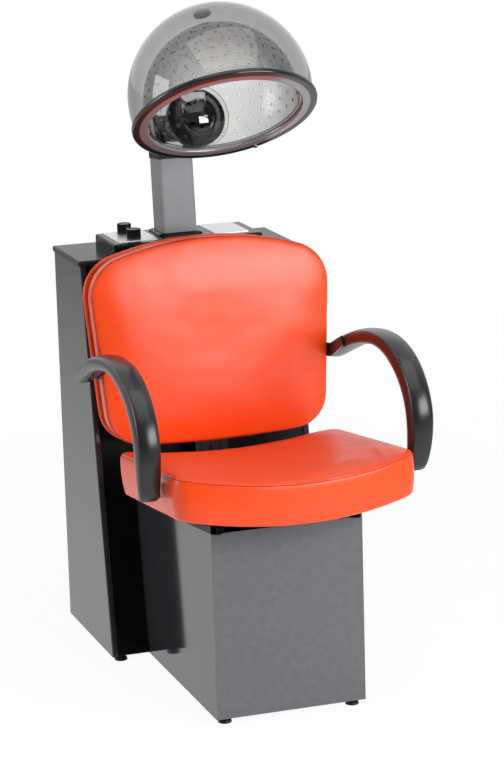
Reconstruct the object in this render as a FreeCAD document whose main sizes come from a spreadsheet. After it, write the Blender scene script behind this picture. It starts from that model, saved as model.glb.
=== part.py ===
import FreeCAD, Part
import math
import os
import Sketcher
from FreeCAD import Placement, Rotation, Vector

# Hooded dryer chair: a seat, back and arms on a steel box, and a hair dryer hood on a post.
# Millimetres. X is the sitter's left to right as seen from the front, Y points to the back, Z is up.
# The origin is on the floor, in the middle of the whole chair's width and depth.

# Driving sizes. Angles are in degrees. "Reach" and "station" are distances forward of the cabinet's back.
SIZES = (
    ("overall_depth", 974.8), ("sheet_gauge", 1.5), ("clearance", 0.3), ("overrun", 20),
    # Cabinet behind the seat
    ("cabinet_width", 506), ("cabinet_height", 880), ("cabinet_depth_low", 357), ("cabinet_depth_top", 218),
    ("panel_fold", 14), ("hem_depth", 8), ("hem_radius", 3.5), ("front_recess", 6),
    ("cap_thick", 12), ("cap_overhang", 4), ("cap_radius", 5),
    ("louvre_width", 74), ("louvre_height", 6), ("louvre_pitch", 18), ("louvre_count", 9),
    ("louvre_spacing", 104), ("louvre_sill", 400),
    # Controls on the cap
    ("housing_width", 348), ("housing_depth", 158), ("housing_height", 30.5), ("housing_setback", 66),
    ("housing_wall", 3), ("housing_radius", 5),
    ("plate_gauge", 1.2), ("plate_depth", 128), ("plate_radius", 3), ("plate_setback", 70),
    ("control_plate_width", 94), ("control_plate_offset", 111), ("label_plate_width", 80),
    ("label_plate_offset", 111),
    ("knob_diameter", 32), ("knob_height", 21), ("knob_offset", 111), ("knob_setback", 88), ("knob_pitch", 76),
    ("knob_flute", 2.4), ("knob_flute_count", 20), ("knob_inset", 24), ("knob_inset_depth", 1),
    ("knob_chamfer", 1),
    ("shaft_diameter", 6), ("shaft_length", 16), ("running_gap", 0.05),
    ("timer_side", 36), ("timer_depth", 24), ("switch_side", 34), ("switch_depth", 20),
    # Post, its guide and its head
    ("post_width", 82), ("post_depth", 73), ("post_wall", 2.5), ("post_corner", 8), ("post_lean", 5),
    ("post_station", 122.5), ("post_buried", 215), ("neck_height", 230), ("slide_gap", 0.4),
    ("guide_wall", 5), ("guide_length", 150), ("collar_height", 12), ("collar_flare", 11), ("collar_chamfer", 6),
    ("head_drop", 62), ("head_floor", 16), ("cheek_gauge", 4), ("spigot_length", 20), ("spigot_wall", 3),
    ("pin_diameter", 10), ("pin_head", 18), ("pin_head_height", 4),
    ("drum_radius", 33), ("drum_wall", 4),
    # Hood
    ("hood_tilt", 33.8), ("ring_station", 505), ("ring_height", 1235), ("ring_radius", 201), ("ring_width", 35),
    ("ring_thick", 10), ("ring_edge", 3), ("lip_rise", 3), ("lip_width", 4),
    ("dome_radius", 197), ("dome_rise", 48), ("dome_wall", 3),
    ("bowl_radius", 167), ("bowl_rise", 35), ("bowl_wall", 2.5), ("bowl_flange", 188.5),
    ("port_angle", 78), ("port_radius", 52), ("port_bore", 44), ("flange_radius", 66), ("flange_gauge", 3),
    ("saddle_radius", 66), ("saddle_thick", 9), ("duct_wall", 4), ("throat_radius", 30),
    ("diffuser_radius", 50), ("diffuser_ball", 84), ("diffuser_wall", 2.5), ("diffuser_rim", 3), ("diffuser_skirt", 14),
    ("diffuser_hole", 7), ("diffuser_hole_circle", 26), ("diffuser_hole_count", 8),
    ("grommet_radius", 19.5), ("grommet_height", 4),
    ("clip_radius", 4), ("clip_height", 3), ("clip_circle", 193), ("clip_turn", 35),
    # Blower, heater and duct inside the cabinet
    ("shelf_height", 361), ("shelf_depth", 200), ("blower_radius", 92), ("blower_width", 70),
    ("blower_wall", 2), ("blower_station", 150), ("blower_base", 12), ("inlet_radius", 45),
    ("wheel_radius", 80), ("wheel_width", 56), ("wheel_disc", 2), ("blade_depth", 16), ("blade_gauge", 1.5),
    ("blade_count", 24), ("hub_radius", 12), ("motor_radius", 40), ("motor_length", 70), ("motor_shaft", 8),
    ("outlet_depth", 62), ("outlet_rise", 37),
    ("heater_width", 90), ("heater_depth", 138), ("heater_height", 68), ("heater_rod", 5), ("heater_rod_count", 5),
    ("duct_gap", 3), ("duct_stop", 20), ("duct_reach", 450),
    ("inlet_width", 27), ("inlet_height", 19), ("inlet_depth", 22), ("inlet_inset", 73), ("inlet_rise", 70),
    ("inlet_flange", 10), ("socket_wall", 2.5), ("socket_depth", 16), ("contact_length", 9),
    ("contact_width", 4), ("contact_gauge", 2), ("contact_pitch", 7),
    # Box under the seat
    ("pedestal_width", 334), ("pedestal_reach", 837), ("pedestal_height", 418),
    # Levelling feet
    ("foot_height", 13), ("foot_radius", 15), ("foot_pad", 8), ("foot_edge", 1.5), ("foot_neck", 6),
    ("stem_diameter", 8),
    ("stem_length", 34), ("nut_width", 13), ("nut_height", 6.5), ("foot_inset", 24), ("foot_setback", 20),
    # Seat
    ("seat_rake", 6.6), ("rail_width", 30), ("rail_height", 14), ("rail_length", 330),
    ("rail_overhang", 28), ("board_gauge", 12), ("board_inset", 60), ("board_sink", 6),
    ("bolt_diameter", 8), ("bolt_head", 13), ("bolt_head_height", 5), ("bolt_grip", 9), ("bolt_inset", 13),
    ("seat_front", 146), ("seat_rear", 397), ("seat_half_front", 265), ("seat_half_rear", 254),
    ("seat_front_round", 630), ("seat_rear_round", 2600), ("seat_front_corner", 46), ("seat_rear_corner", 64),
    ("seat_bend", 1230), ("seat_thick", 97), ("seat_edge", 13), ("seat_foot_edge", 6), ("seat_draw", 12),
    ("seat_stack", 170),
    # Back
    ("back_tilt", 5.5), ("back_station", 405), ("back_base", 520), ("back_drop", 20), ("back_rise", 433),
    ("back_half_low", 250), ("back_half_high", 283), ("back_low_round", 2400), ("back_high_round", 720),
    ("back_low_corner", 78), ("back_high_corner", 92), ("back_boxing", 54), ("back_crown", 17),
    ("back_crown_inset", 80), ("back_board_inset", 20), ("shell_thick", 22), ("shell_round", 14),
    ("bracket_width", 75), ("bracket_gauge", 6), ("bracket_rise", 150), ("bracket_tongue", 190),
    ("rib_width", 5), ("rib_depth", 4), ("rib_pitch", 22),
    # Arms
    ("arm_gap", 544), ("arm_width", 53), ("arm_thick", 56), ("arm_length", 482), ("arm_rise", 259),
    ("arm_back", 385), ("arm_foot", 503),
    ("strap_gauge", 5), ("strap_height", 30), ("strap_root", 180), ("strap_drop", 21), ("strap_end", 12),
    ("foot_plate_height", 62), ("foot_plate_width", 52), ("boss_radius", 9),
    ("boss_length", 30),
)

# Arm midline from its rear tip to its lower end: shares of arm_length, arm_rise, arm_thick and arm_width.
ARM_SHARES = (
    (0.023, 0.670, 0.56, 0.84), (0.166, 0.797, 0.60, 0.96), (0.353, 0.900, 0.62, 1.0), (0.529, 0.940, 0.60, 1.0),
    (0.674, 0.909, 0.74, 1.0), (0.797, 0.815, 0.92, 1.0), (0.887, 0.674, 1.0, 1.0), (0.941, 0.481, 1.0, 1.0),
    (0.948, 0.307, 0.84, 0.98), (0.936, 0.143, 0.62, 0.92), (0.898, 0.008, 0.46, 0.80),
)
# Corners and bulges of the arm's cross-section: shares of its width and of its thickness.
ARM_CORNER_SHARES = ((-0.42, 0.40), (0.42, 0.40), (0.42, -0.38), (-0.42, -0.38))
ARM_BULGE_SHARES = ((0.0, 0.5), (0.5, 0.0), (0.0, -0.5), (-0.5, 0.0))
# Rear edge of the arms' front plates along arm_length, and their bosses up foot_plate_height.
BRACKET_SHARE = 0.86
BOSS_SHARES = (0.3, 0.72)
# Sections of the seat's walls above the rails' foot: shares of seat_stack and of seat_draw.
SEAT_SIDE_SHARES = ((0.0, 1.0), (0.25, 0.35), (0.5, -0.2), (0.75, -0.15), (1.0, 0.3))
# Crown above the seam, a quarter of an ellipse: shares of the crown's height and of its inset.
CROWN_SHARES = ((0.0, 0.0), (0.26, 0.035), (0.5, 0.135), (0.71, 0.3), (0.87, 0.52), (0.97, 0.78), (1.0, 1.08))
# Sections of the back's boxing from its rear face: shares of back_boxing and of shell_round.
BACK_SIDE_SHARES = ((0.0, 0.4), (0.25, 0.05), (0.6, -0.1), (1.0, 0.0))
# Rear panel from its front face: shares of shell_thick and of shell_round.
SHELL_SHARES = ((0.0, 0.1), (0.5, 0.0), (0.82, 0.3), (1.0, 1.0))

doc = FreeCAD.newDocument("DryerChair")
sheet = doc.addObject("Spreadsheet::Sheet", "Sizes")
finished = []


class Linked:
    """A length, angle or ratio kept with the sheet expression that it comes from."""

    def __init__(self, number, text):
        self.number = float(number)
        self.text = text

    def __float__(self):
        return self.number

    def __add__(self, other):
        return Linked(self.number + float(other), "(%s + %s)" % (self.text, text_of(other)))

    def __radd__(self, other):
        return Linked(float(other) + self.number, "(%s + %s)" % (text_of(other), self.text))

    def __sub__(self, other):
        return Linked(self.number - float(other), "(%s - %s)" % (self.text, text_of(other)))

    def __rsub__(self, other):
        return Linked(float(other) - self.number, "(%s - %s)" % (text_of(other), self.text))

    def __mul__(self, other):
        return Linked(self.number * float(other), "(%s * %s)" % (self.text, text_of(other)))

    def __rmul__(self, other):
        return Linked(float(other) * self.number, "(%s * %s)" % (text_of(other), self.text))

    def __truediv__(self, other):
        return Linked(self.number / float(other), "(%s / %s)" % (self.text, text_of(other)))

    def __neg__(self):
        return Linked(-self.number, "(0 - %s)" % self.text)


def text_of(value):
    return value.text if isinstance(value, Linked) else repr(value)


def sine(angle):
    return Linked(math.sin(math.radians(float(angle))), "sin(%s)" % text_of(angle))


def cosine(angle):
    return Linked(math.cos(math.radians(float(angle))), "cos(%s)" % text_of(angle))


def tangent(angle):
    return Linked(math.tan(math.radians(float(angle))), "tan(%s)" % text_of(angle))


def leg(hypotenuse, other):
    """The third side of a right triangle."""
    square = hypotenuse * hypotenuse - other * other
    return Linked(math.sqrt(float(square)), "sqrt(%s)" % square.text)


class Dimensions:
    """Every driving size as an attribute, linked to its cell."""


def fill_sheet():
    dimensions = Dimensions()
    for row, (alias, number) in enumerate(SIZES, 1):
        sheet.set("A%d" % row, alias)
        sheet.set("B%d" % row, str(number))
        sheet.setAlias("B%d" % row, alias)
        setattr(dimensions, alias, Linked(number, "Sizes." + alias))
    doc.recompute()
    return dimensions


size = fill_sheet()


def bind(item, **properties):
    for name, value in properties.items():
        setattr(item, name, float(value) if isinstance(value, Linked) else value)
        if isinstance(value, Linked):
            item.setExpression(name, value.text)
    return item


def place(item, x=0, y=0, z=0, axis=Vector(1, 0, 0), angle=0):
    """Place a piece and tie its place and its turn to the sheet."""
    item.Placement = Placement(Vector(float(x), float(y), float(z)), Rotation(axis, float(angle)))
    for name, value in (("Base.x", x), ("Base.y", y), ("Base.z", z), ("Rotation.Angle", angle)):
        if isinstance(value, Linked):
            item.setExpression(".Placement." + name, value.text)
    return item


def finish(item, label):
    item.Label = label
    finished.append(item)
    return item


# Part solids

def box(name, x, y, z, length, width, height):
    return place(bind(doc.addObject("Part::Box", name), Length=length, Width=width, Height=height), x, y, z)


def cylinder(name, radius, height, x=0, y=0, z=0, axis=Vector(1, 0, 0), angle=0):
    return place(bind(doc.addObject("Part::Cylinder", name), Radius=radius, Height=height), x, y, z, axis, angle)


def along_x(name, radius, length, x, y, z):
    return cylinder(name, radius, length, x, y, z, Vector(0, 1, 0), 90)


def cut(name, base, tools):
    result = doc.addObject("Part::Cut", name)
    result.Base = base
    result.Tool = tools[0] if len(tools) == 1 else fuse(name + "_tools", tools)
    result.Refine = True
    return result


def fuse(name, parts):
    result = doc.addObject("Part::MultiFuse", name)
    result.Shapes = parts
    result.Refine = True
    return result


def group(name, parts):
    result = doc.addObject("Part::Compound", name)
    result.Links = parts
    return result


def mirrored(name, source):
    result = doc.addObject("Part::Mirroring", name)
    result.Source = source
    result.Normal = Vector(1, 0, 0)
    return result


def shaped(name, shape):
    result = doc.addObject("Part::Feature", name)
    result.Shape = shape
    return result


# Sketched bodies

def new_body(name):
    return doc.addObject("PartDesign::Body", name)


def new_sketch(body, plane, lift=0):
    sketch = body.newObject("Sketcher::SketchObject", body.Name + "_sketch")
    role = plane + "_Plane"
    face = [item for item in body.Origin.OriginFeatures if item.Role == role][0]
    sketch.AttachmentSupport = (face, [""])
    sketch.MapMode = "FlatFace"
    if isinstance(lift, Linked):
        sketch.AttachmentOffset = Placement(Vector(0, 0, float(lift)), Rotation())
        sketch.setExpression(".AttachmentOffset.Base.z", lift.text)
    return sketch


def hold_point(sketch, line, end, u, v):
    for axis, value, zero_axis in (("X", u, -2), ("Y", v, -1)):
        if isinstance(value, Linked):
            row = sketch.addConstraint(Sketcher.Constraint("Distance" + axis, -1, 1, line, end, float(value)))
            sketch.setExpression("Constraints[%d]" % row, value.text)
        else:
            sketch.addConstraint(Sketcher.Constraint("PointOnObject", line, end, zero_axis))


def polygon(sketch, points):
    first = sketch.GeometryCount
    count = len(points)
    corners = [Vector(float(u), float(v), 0) for u, v in points]
    for index in range(count):
        sketch.addGeometry(Part.LineSegment(corners[index], corners[(index + 1) % count]))
    for index in range(count):
        following = first + (index + 1) % count
        sketch.addConstraint(Sketcher.Constraint("Coincident", first + index, 2, following, 1))
    for index, (u, v) in enumerate(points):
        hold_point(sketch, first + index, 1, u, v)


def rectangle(sketch, u_low, v_low, u_high, v_high):
    polygon(sketch, ((u_low, v_low), (u_high, v_low), (u_high, v_high), (u_low, v_high)))


def centred_rectangle(sketch, width, depth):
    rectangle(sketch, -width / 2, -depth / 2, width / 2, depth / 2)


def circle(sketch, u, v, radius):
    row = sketch.addGeometry(Part.Circle(Vector(float(u), float(v), 0), Vector(0, 0, 1), float(radius)))
    hold_point(sketch, row, 3, u, v)
    line = sketch.addConstraint(Sketcher.Constraint("Radius", row, float(radius)))
    sketch.setExpression("Constraints[%d]" % line, radius.text)


def pad(body, sketch, length, midplane=False, backwards=False):
    feature = body.newObject("PartDesign::Pad", body.Name + "_pad")
    feature.Profile = sketch
    feature.Midplane = midplane
    feature.Reversed = backwards
    return bind(feature, Length=length)


def pocket(body, sketch, length, midplane=False, backwards=False):
    before = volume_of(body)
    feature = body.newObject("PartDesign::Pocket", body.Name + "_pocket")
    feature.Profile = sketch
    feature.Midplane = midplane
    feature.Reversed = backwards
    bind(feature, Length=length)
    if volume_of(body) >= before:
        raise ValueError("the pocket in %s cuts nothing" % body.Name)
    return feature


def volume_of(body):
    doc.recompute()
    return body.Shape.Volume


def turned(body, sketch):
    feature = body.newObject("PartDesign::Revolution", body.Name + "_turned")
    feature.Profile = sketch
    feature.ReferenceAxis = (sketch, ["V_Axis"])
    feature.Angle = 360
    return feature


def rounded(body, radius, test, kind="Fillet"):
    """Fillet or chamfer the edges of the body's last feature that pass the test."""
    doc.recompute()
    last = body.Tip
    names = ["Edge%d" % row for row, edge in enumerate(last.Shape.Edges, 1) if test(edge)]
    feature = body.newObject("PartDesign::" + kind, body.Name + "_" + kind.lower())
    feature.Base = (last, names)
    bind(feature, **{"Radius" if kind == "Fillet" else "Size": radius})
    return feature


def upright(edge):
    span = edge.BoundBox
    return span.ZLength > span.XLength + span.YLength


def level_at(height):
    """Edges that lie level at a height."""
    def test(edge):
        span = edge.BoundBox
        return abs(span.ZMax - float(height)) < float(size.clearance) and span.ZLength < float(size.clearance)
    return test


# Places that several pieces share

rear = size.overall_depth / 2
half_width = size.cabinet_width / 2
base = size.foot_height
cabinet_top = size.cabinet_height
cap_top = cabinet_top + size.cap_thick
deck = cap_top + size.housing_height
front_low = rear - size.cabinet_depth_low
front_top = rear - size.cabinet_depth_top
cabinet_slope = (size.cabinet_depth_low - size.cabinet_depth_top) / (cabinet_top - base)
pedestal_front = rear - size.pedestal_reach
post_y = rear - size.post_station
hinge_y = post_y + size.neck_height * sine(size.post_lean)
hinge_z = deck + size.neck_height * cosine(size.post_lean)
hood_y = rear - size.ring_station
dome_y = hood_y + size.dome_rise * sine(size.hood_tilt)
dome_z = size.ring_height + size.dome_rise * cosine(size.hood_tilt)
port_turn = size.hood_tilt + size.port_angle
arm_inner = size.arm_gap / 2
seat_base = size.rail_height + size.board_gauge - size.board_sink


def in_post_frame(item, x=0, y=0, z=0):
    """Axes of the leaning post: its origin is on the post's axis at the deck."""
    lean = size.post_lean
    return place(
        item,
        x,
        post_y + y * cosine(lean) + z * sine(lean),
        deck - y * sine(lean) + z * cosine(lean),
        angle=-lean,
    )


def in_hood_frame(item, z=0):
    """Axes of the hood: its origin is at the ring's centre and its Z is the hood's axis."""
    tilt = size.hood_tilt
    return place(item, 0, hood_y + z * sine(tilt), size.ring_height + z * cosine(tilt), angle=-tilt)


def in_port_frame(item, x=0, y=0, z=0):
    """Axes of the air port: its origin is the dome's centre and its Z runs out through the port."""
    turn = port_turn
    return place(
        item,
        x,
        dome_y + y * cosine(turn) + z * sine(turn),
        dome_z - y * sine(turn) + z * cosine(turn),
        angle=-turn,
    )


def in_seat_frame(item, x=0, y=0, z=0):
    """Axes of the raked seat: its origin is on the pedestal's top front edge."""
    rake = size.seat_rake
    return place(
        item,
        x,
        pedestal_front + y * cosine(rake) + z * sine(rake),
        size.pedestal_height - y * sine(rake) + z * cosine(rake),
        angle=-rake,
    )


def in_back_frame(item, x=0, y=0, z=0):
    """Axes of the back: Y runs back through the cushion and Z up along its seam."""
    tilt = size.back_tilt
    return place(
        item,
        x,
        rear - size.back_station + y * cosine(tilt) + z * sine(tilt),
        size.back_base - y * sine(tilt) + z * cosine(tilt),
        angle=-tilt,
    )


# Cabinet

def cabinet_front_at(height):
    """The y of the cabinet's front panel at a height."""
    return front_low + size.front_recess + cabinet_slope * (height - base)


def side_tray(name, outer, inner, x):
    """A sheet steel side with folded edges, open towards the inside."""
    body = place(new_body(name), x=x)
    face = new_sketch(body, "YZ")
    polygon(face, outer)
    pad(body, face, size.panel_fold)
    hollow = new_sketch(body, "YZ")
    polygon(hollow, inner)
    pocket(body, hollow, size.panel_fold - size.sheet_gauge, backwards=True)
    return body


def cabinet_sides():
    gauge = size.sheet_gauge
    outer = ((front_low, base), (rear, base), (rear, cabinet_top), (front_top, cabinet_top))
    inner = (
        (front_low + size.hem_depth, base + gauge),
        (rear - gauge, base + gauge),
        (rear - gauge, cabinet_top - gauge),
        (front_top + size.hem_depth, cabinet_top - gauge),
    )
    right = side_tray("cabinet_right", outer, inner, half_width - size.panel_fold)
    middle = float(front_low + front_top) / 2 + float(size.hem_depth) / 2

    def on_hem(edge):
        span = edge.BoundBox
        return span.ZLength > float(cabinet_top) / 2 and span.Center.y < middle

    rounded(right, size.hem_radius, on_hem)
    finish(right, "cabinet_right_panel")
    finish(mirrored("cabinet_left", right), "cabinet_left_panel")


def cabinet_front():
    body = new_body("cabinet_front")
    profile = new_sketch(body, "YZ")
    low = cabinet_front_at(base)
    high = cabinet_front_at(cabinet_top)
    gauge = size.sheet_gauge
    polygon(profile, ((low, base), (low + gauge, base), (high + gauge, cabinet_top), (high, cabinet_top)))
    pad(body, profile, size.cabinet_width - 2 * size.panel_fold, midplane=True)
    finish(body, "cabinet_front_panel")


def cabinet_back():
    """The back panel with its louvre slots and the opening for the power inlet."""
    body = place(new_body("cabinet_back"), y=rear)
    face = new_sketch(body, "XZ")
    inside = half_width - size.panel_fold
    rectangle(face, -inside, base, inside, cabinet_top)
    pad(body, face, size.sheet_gauge)
    opening = new_sketch(body, "XZ")
    middle = size.inlet_inset - half_width
    gap = size.clearance
    rectangle(
        opening,
        middle - size.inlet_width / 2 - gap,
        base + size.inlet_rise - gap,
        middle + size.inlet_width / 2 + gap,
        base + size.inlet_rise + size.inlet_height + gap,
    )
    pocket(body, opening, size.overrun, midplane=True)
    slots = new_sketch(body, "XZ")
    low = size.louvre_sill
    high = size.louvre_sill + size.louvre_height
    near = (size.louvre_spacing - size.louvre_width) / 2
    far = (size.louvre_spacing + size.louvre_width) / 2
    rectangle(slots, -far, low, -near, high)
    rectangle(slots, near, low, far, high)
    slot = pocket(body, slots, size.overrun, midplane=True)
    rows = body.newObject("PartDesign::LinearPattern", "louvre_rows")
    rows.Originals = [slot]
    rows.Direction = (slots, ["V_Axis"])
    bind(rows, Length=size.louvre_pitch * (size.louvre_count - 1))
    rows.Occurrences = int(float(size.louvre_count))
    body.Tip = rows
    finish(body, "cabinet_back_panel")


def foot_places(front, back, half):
    inset = size.foot_inset
    setback = size.foot_setback
    return [
        (side * (half - inset), y)
        for side in (-1, 1)
        for y in (front + setback, back - setback)
    ]


def floor_plate(name, label, half, front, back, feet):
    body = place(new_body(name), z=base + size.sheet_gauge)
    face = new_sketch(body, "XY")
    rectangle(face, -half, front, half, back)
    pad(body, face, size.sheet_gauge)
    holes = new_sketch(body, "XY")
    for x, y in feet:
        circle(holes, x, y, size.stem_diameter / 2 + size.clearance)
    pocket(body, holes, size.overrun, midplane=True)
    finish(body, label)


def cap():
    """The cover on the cabinet, cut through for the post's guide."""
    body = new_body("cap_blank")
    face = new_sketch(body, "XY", cabinet_top)
    reach = half_width + size.cap_overhang
    rectangle(face, -reach, front_top - size.cap_overhang, reach, rear)
    pad(body, face, size.cap_thick)
    rounded(body, size.cap_radius, lambda edge: upright(edge) and edge.BoundBox.YMax < float(front_top))
    rounded(body, size.cap_radius - size.clearance, level_at(cap_top))
    hollow = new_sketch(body, "XY", cabinet_top)
    inside = reach - size.cap_radius
    rectangle(hollow, -inside, front_top - size.cap_overhang + size.cap_radius, inside, rear - size.cap_radius)
    pocket(body, hollow, size.cap_thick - size.sheet_gauge, backwards=True)
    finish(cut("cap", body, [guide_prism("cap_hole")]), "cabinet_cap")


def prism(name, width, depth, low, high):
    """A straight block along the leaning post's axis."""
    block = doc.addObject("Part::Box", name)
    bind(block, Length=width, Width=depth, Height=high - low)
    return in_post_frame(block, -width / 2, -depth / 2, low)


def guide_prism(name):
    gap = size.slide_gap + size.guide_wall + size.clearance
    reach = size.guide_length + size.overrun
    return prism(name, size.post_width + 2 * gap, size.post_depth + 2 * gap, -reach, reach)


# Controls

def housing():
    body = new_body("housing_blank")
    width = size.housing_width
    back = rear - size.housing_setback
    front = back - size.housing_depth
    face = new_sketch(body, "XY", cap_top)
    rectangle(face, -width / 2, front, width / 2, back)
    pad(body, face, size.housing_height)
    rounded(body, size.housing_radius, upright)
    rounded(body, size.housing_radius - size.clearance, level_at(deck))
    hollow = new_sketch(body, "XY", cap_top)
    wall = size.housing_wall
    rectangle(hollow, -width / 2 + wall, front + wall, width / 2 - wall, back - wall)
    pocket(body, hollow, size.housing_height - wall, backwards=True)
    shafts = [
        cylinder("housing_hole", size.shaft_diameter / 2 + size.clearance, size.overrun, -size.knob_offset, y,
                 deck - size.overrun / 2)
        for y in knob_places()
    ]
    finish(cut("housing", body, [guide_prism("housing_slot")] + shafts), "control_housing")


def knob_places():
    first = rear - size.knob_setback
    return first, first - size.knob_pitch


def top_plate(name, label, x, width, holes):
    body = new_body(name)
    back = rear - size.plate_setback
    face = new_sketch(body, "XY", deck)
    rectangle(face, x - width / 2, back - size.plate_depth, x + width / 2, back)
    pad(body, face, size.plate_gauge)
    rounded(body, size.plate_radius, upright)
    if holes:
        pierced = new_sketch(body, "XY", deck)
        for y in knob_places():
            circle(pierced, -size.knob_offset, y, size.shaft_diameter / 2 + size.clearance)
        pocket(body, pierced, size.overrun, midplane=True)
    finish(body, label)


def knob(name, label, y):
    """A fluted knob with a sunk top and the shaft that turns its switch."""
    body = place(new_body(name), -size.knob_offset, y, deck + size.plate_gauge + size.clearance)
    radius = size.knob_diameter / 2
    face = new_sketch(body, "XY")
    circle(face, 0, 0, radius)
    pad(body, face, size.knob_height)
    rounded(body, size.knob_chamfer, level_at(size.knob_height), "Chamfer")
    inset = new_sketch(body, "XY", size.knob_height - size.knob_inset_depth)
    circle(inset, 0, 0, size.knob_inset / 2)
    pocket(body, inset, size.overrun, backwards=True)
    shaft = new_sketch(body, "XY")
    circle(shaft, 0, 0, size.shaft_diameter / 2)
    pad(body, shaft, size.shaft_length, backwards=True)
    flute = new_sketch(body, "XY")
    circle(flute, radius + size.knob_flute / 4, 0, size.knob_flute / 2)
    groove = pocket(body, flute, size.knob_height, backwards=True)
    flutes = body.newObject("PartDesign::PolarPattern", name + "_flutes")
    flutes.Originals = [groove]
    flutes.Axis = (flute, ["N_Axis"])
    flutes.Angle = 360
    flutes.Occurrences = int(float(size.knob_flute_count))
    body.Tip = flutes
    finish(body, label)


def switch(name, label, y, side, depth):
    """A switch body under the housing's top, bored for its knob's shaft."""
    top = deck - size.housing_wall
    block = box(name + "_block", -size.knob_offset - side / 2, y - side / 2, top - depth, side, side, depth)
    bore = cylinder(
        name + "_bore",
        size.shaft_diameter / 2 + size.running_gap,
        size.overrun,
        -size.knob_offset,
        y,
        deck + size.plate_gauge - size.shaft_length,
    )
    finish(cut(name, block, [bore]), label)


# Post and its guide

def tube_sketch(body, width, depth, wall, lift):
    sketch = new_sketch(body, "XY", lift)
    centred_rectangle(sketch, width, depth)
    centred_rectangle(sketch, width - 2 * wall, depth - 2 * wall)
    return sketch


def outer_corner(width):
    """Upright edges on the outside of a tube of this width."""
    def test(edge):
        return upright(edge) and abs(edge.BoundBox.Center.x) > float(width) / 2 - float(size.clearance)
    return test


def guide():
    """The sleeve that the post slides in."""
    body = in_post_frame(new_body("guide"))
    wall = size.guide_wall
    width = size.post_width + 2 * (size.slide_gap + wall)
    depth = size.post_depth + 2 * (size.slide_gap + wall)
    pad(body, tube_sketch(body, width, depth, wall, -size.guide_length), size.guide_length - size.collar_chamfer)
    finish(body, "post_guide")


def collar():
    """The flared collar round the post on the deck."""
    body = place(new_body("collar_blank"), y=post_y)
    face = new_sketch(body, "XY", deck)
    centred_rectangle(face, size.post_width + 2 * size.collar_flare, size.post_depth + 2 * size.collar_flare)
    pad(body, face, size.collar_height)
    rounded(body, size.collar_flare, upright)
    rounded(body, size.collar_chamfer, level_at(deck + size.collar_height), "Chamfer")
    gap = size.slide_gap
    hole = prism("collar_hole", size.post_width + 2 * gap, size.post_depth + 2 * gap, -size.overrun,
                 size.collar_height + size.overrun)
    finish(cut("collar", body, [hole]), "post_collar")


def post():
    body = in_post_frame(new_body("post"))
    sketch = tube_sketch(body, size.post_width, size.post_depth, size.post_wall, -size.post_buried)
    pad(body, sketch, size.post_buried + size.neck_height - size.head_drop)
    rounded(body, size.post_corner, outer_corner(size.post_width))
    inner = size.post_width - 2 * size.post_wall

    def inner_corner(edge):
        x = abs(edge.BoundBox.Center.x)
        return upright(edge) and abs(x - float(inner) / 2) < float(size.clearance)

    rounded(body, size.post_corner - size.post_wall, inner_corner)
    finish(body, "hood_post")


def post_head():
    """The forked head on the post: a base with a duct hole and two cheeks for the hinge pin."""
    body = in_post_frame(new_body("head"))
    hinge = size.neck_height
    low = hinge - size.head_drop
    reach = size.post_depth / 2
    side = new_sketch(body, "YZ")
    rectangle(side, -reach, low, reach, hinge)
    pad(body, side, size.post_width, midplane=True)
    crown = new_sketch(body, "YZ")
    circle(crown, 0, hinge, reach)
    pad(body, crown, size.post_width, midplane=True)
    fork = new_sketch(body, "YZ")
    rectangle(fork, -reach - size.overrun, low + size.head_floor, reach + size.overrun, hinge + 2 * reach)
    pocket(body, fork, size.post_width - 2 * size.cheek_gauge, midplane=True)
    inner_width = size.post_width - 2 * size.post_wall - 2 * size.clearance
    inner_depth = size.post_depth - 2 * size.post_wall - 2 * size.clearance
    spigot = new_sketch(body, "XY", low - size.spigot_length)
    centred_rectangle(spigot, inner_width, inner_depth)
    pad(body, spigot, size.spigot_length)

    def spigot_corner(edge):
        return upright(edge) and edge.BoundBox.ZMax < float(low) + float(size.clearance)

    rounded(body, size.post_corner - size.post_wall, spigot_corner)
    duct = new_sketch(body, "XY", low - size.spigot_length)
    wall = size.spigot_wall
    centred_rectangle(duct, inner_width - 2 * wall, inner_depth - 2 * wall)
    pocket(body, duct, size.spigot_length + size.head_floor + size.clearance, backwards=True)
    bore = new_sketch(body, "YZ")
    circle(bore, 0, hinge, size.pin_diameter / 2 + size.running_gap)
    pocket(body, bore, size.post_width + size.overrun, midplane=True)
    finish(body, "post_head")


def hinge_pin():
    half = size.post_width / 2
    height = size.pin_head_height
    head = size.pin_head / 2
    shaft = along_x("pin_shaft", size.pin_diameter / 2, size.post_width, -half, hinge_y, hinge_z)
    left = along_x("pin_left", head, height, -half - height, hinge_y, hinge_z)
    right = along_x("pin_right", head, height, half, hinge_y, hinge_z)
    finish(fuse("pin", [shaft, left, right]), "hinge_pin")


# Hood

def ring():
    """The ring that carries both shells: a band with a rolled edge and a lip round the dome."""
    body = in_hood_frame(new_body("ring"))
    outer = size.ring_radius
    inner = outer - size.ring_width
    half = size.ring_thick / 2
    lip_in = leg(size.dome_radius, size.dome_rise - half - size.lip_rise) + size.clearance
    lip_out = lip_in + size.lip_width
    profile = new_sketch(body, "XZ")
    polygon(profile, (
        (inner, -half), (outer, -half), (outer, half), (lip_out, half + size.lip_rise / 2),
        (lip_out, half + size.lip_rise), (lip_in, half + size.lip_rise), (lip_in, half), (inner, half),
    ))
    turned(body, profile)

    def band_edge(edge):
        span = edge.BoundBox
        flat = span.ZLength < float(size.clearance)
        return flat and span.XMax > float(outer) - float(size.clearance)

    def mouth_edge(edge):
        span = edge.BoundBox
        return span.ZMax < float(size.clearance) - float(half) and span.XMax < float(inner) + float(size.clearance)

    rounded(body, size.ring_edge, band_edge)
    rounded(body, size.ring_edge, mouth_edge)
    finish(body, "hood_ring")


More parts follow.
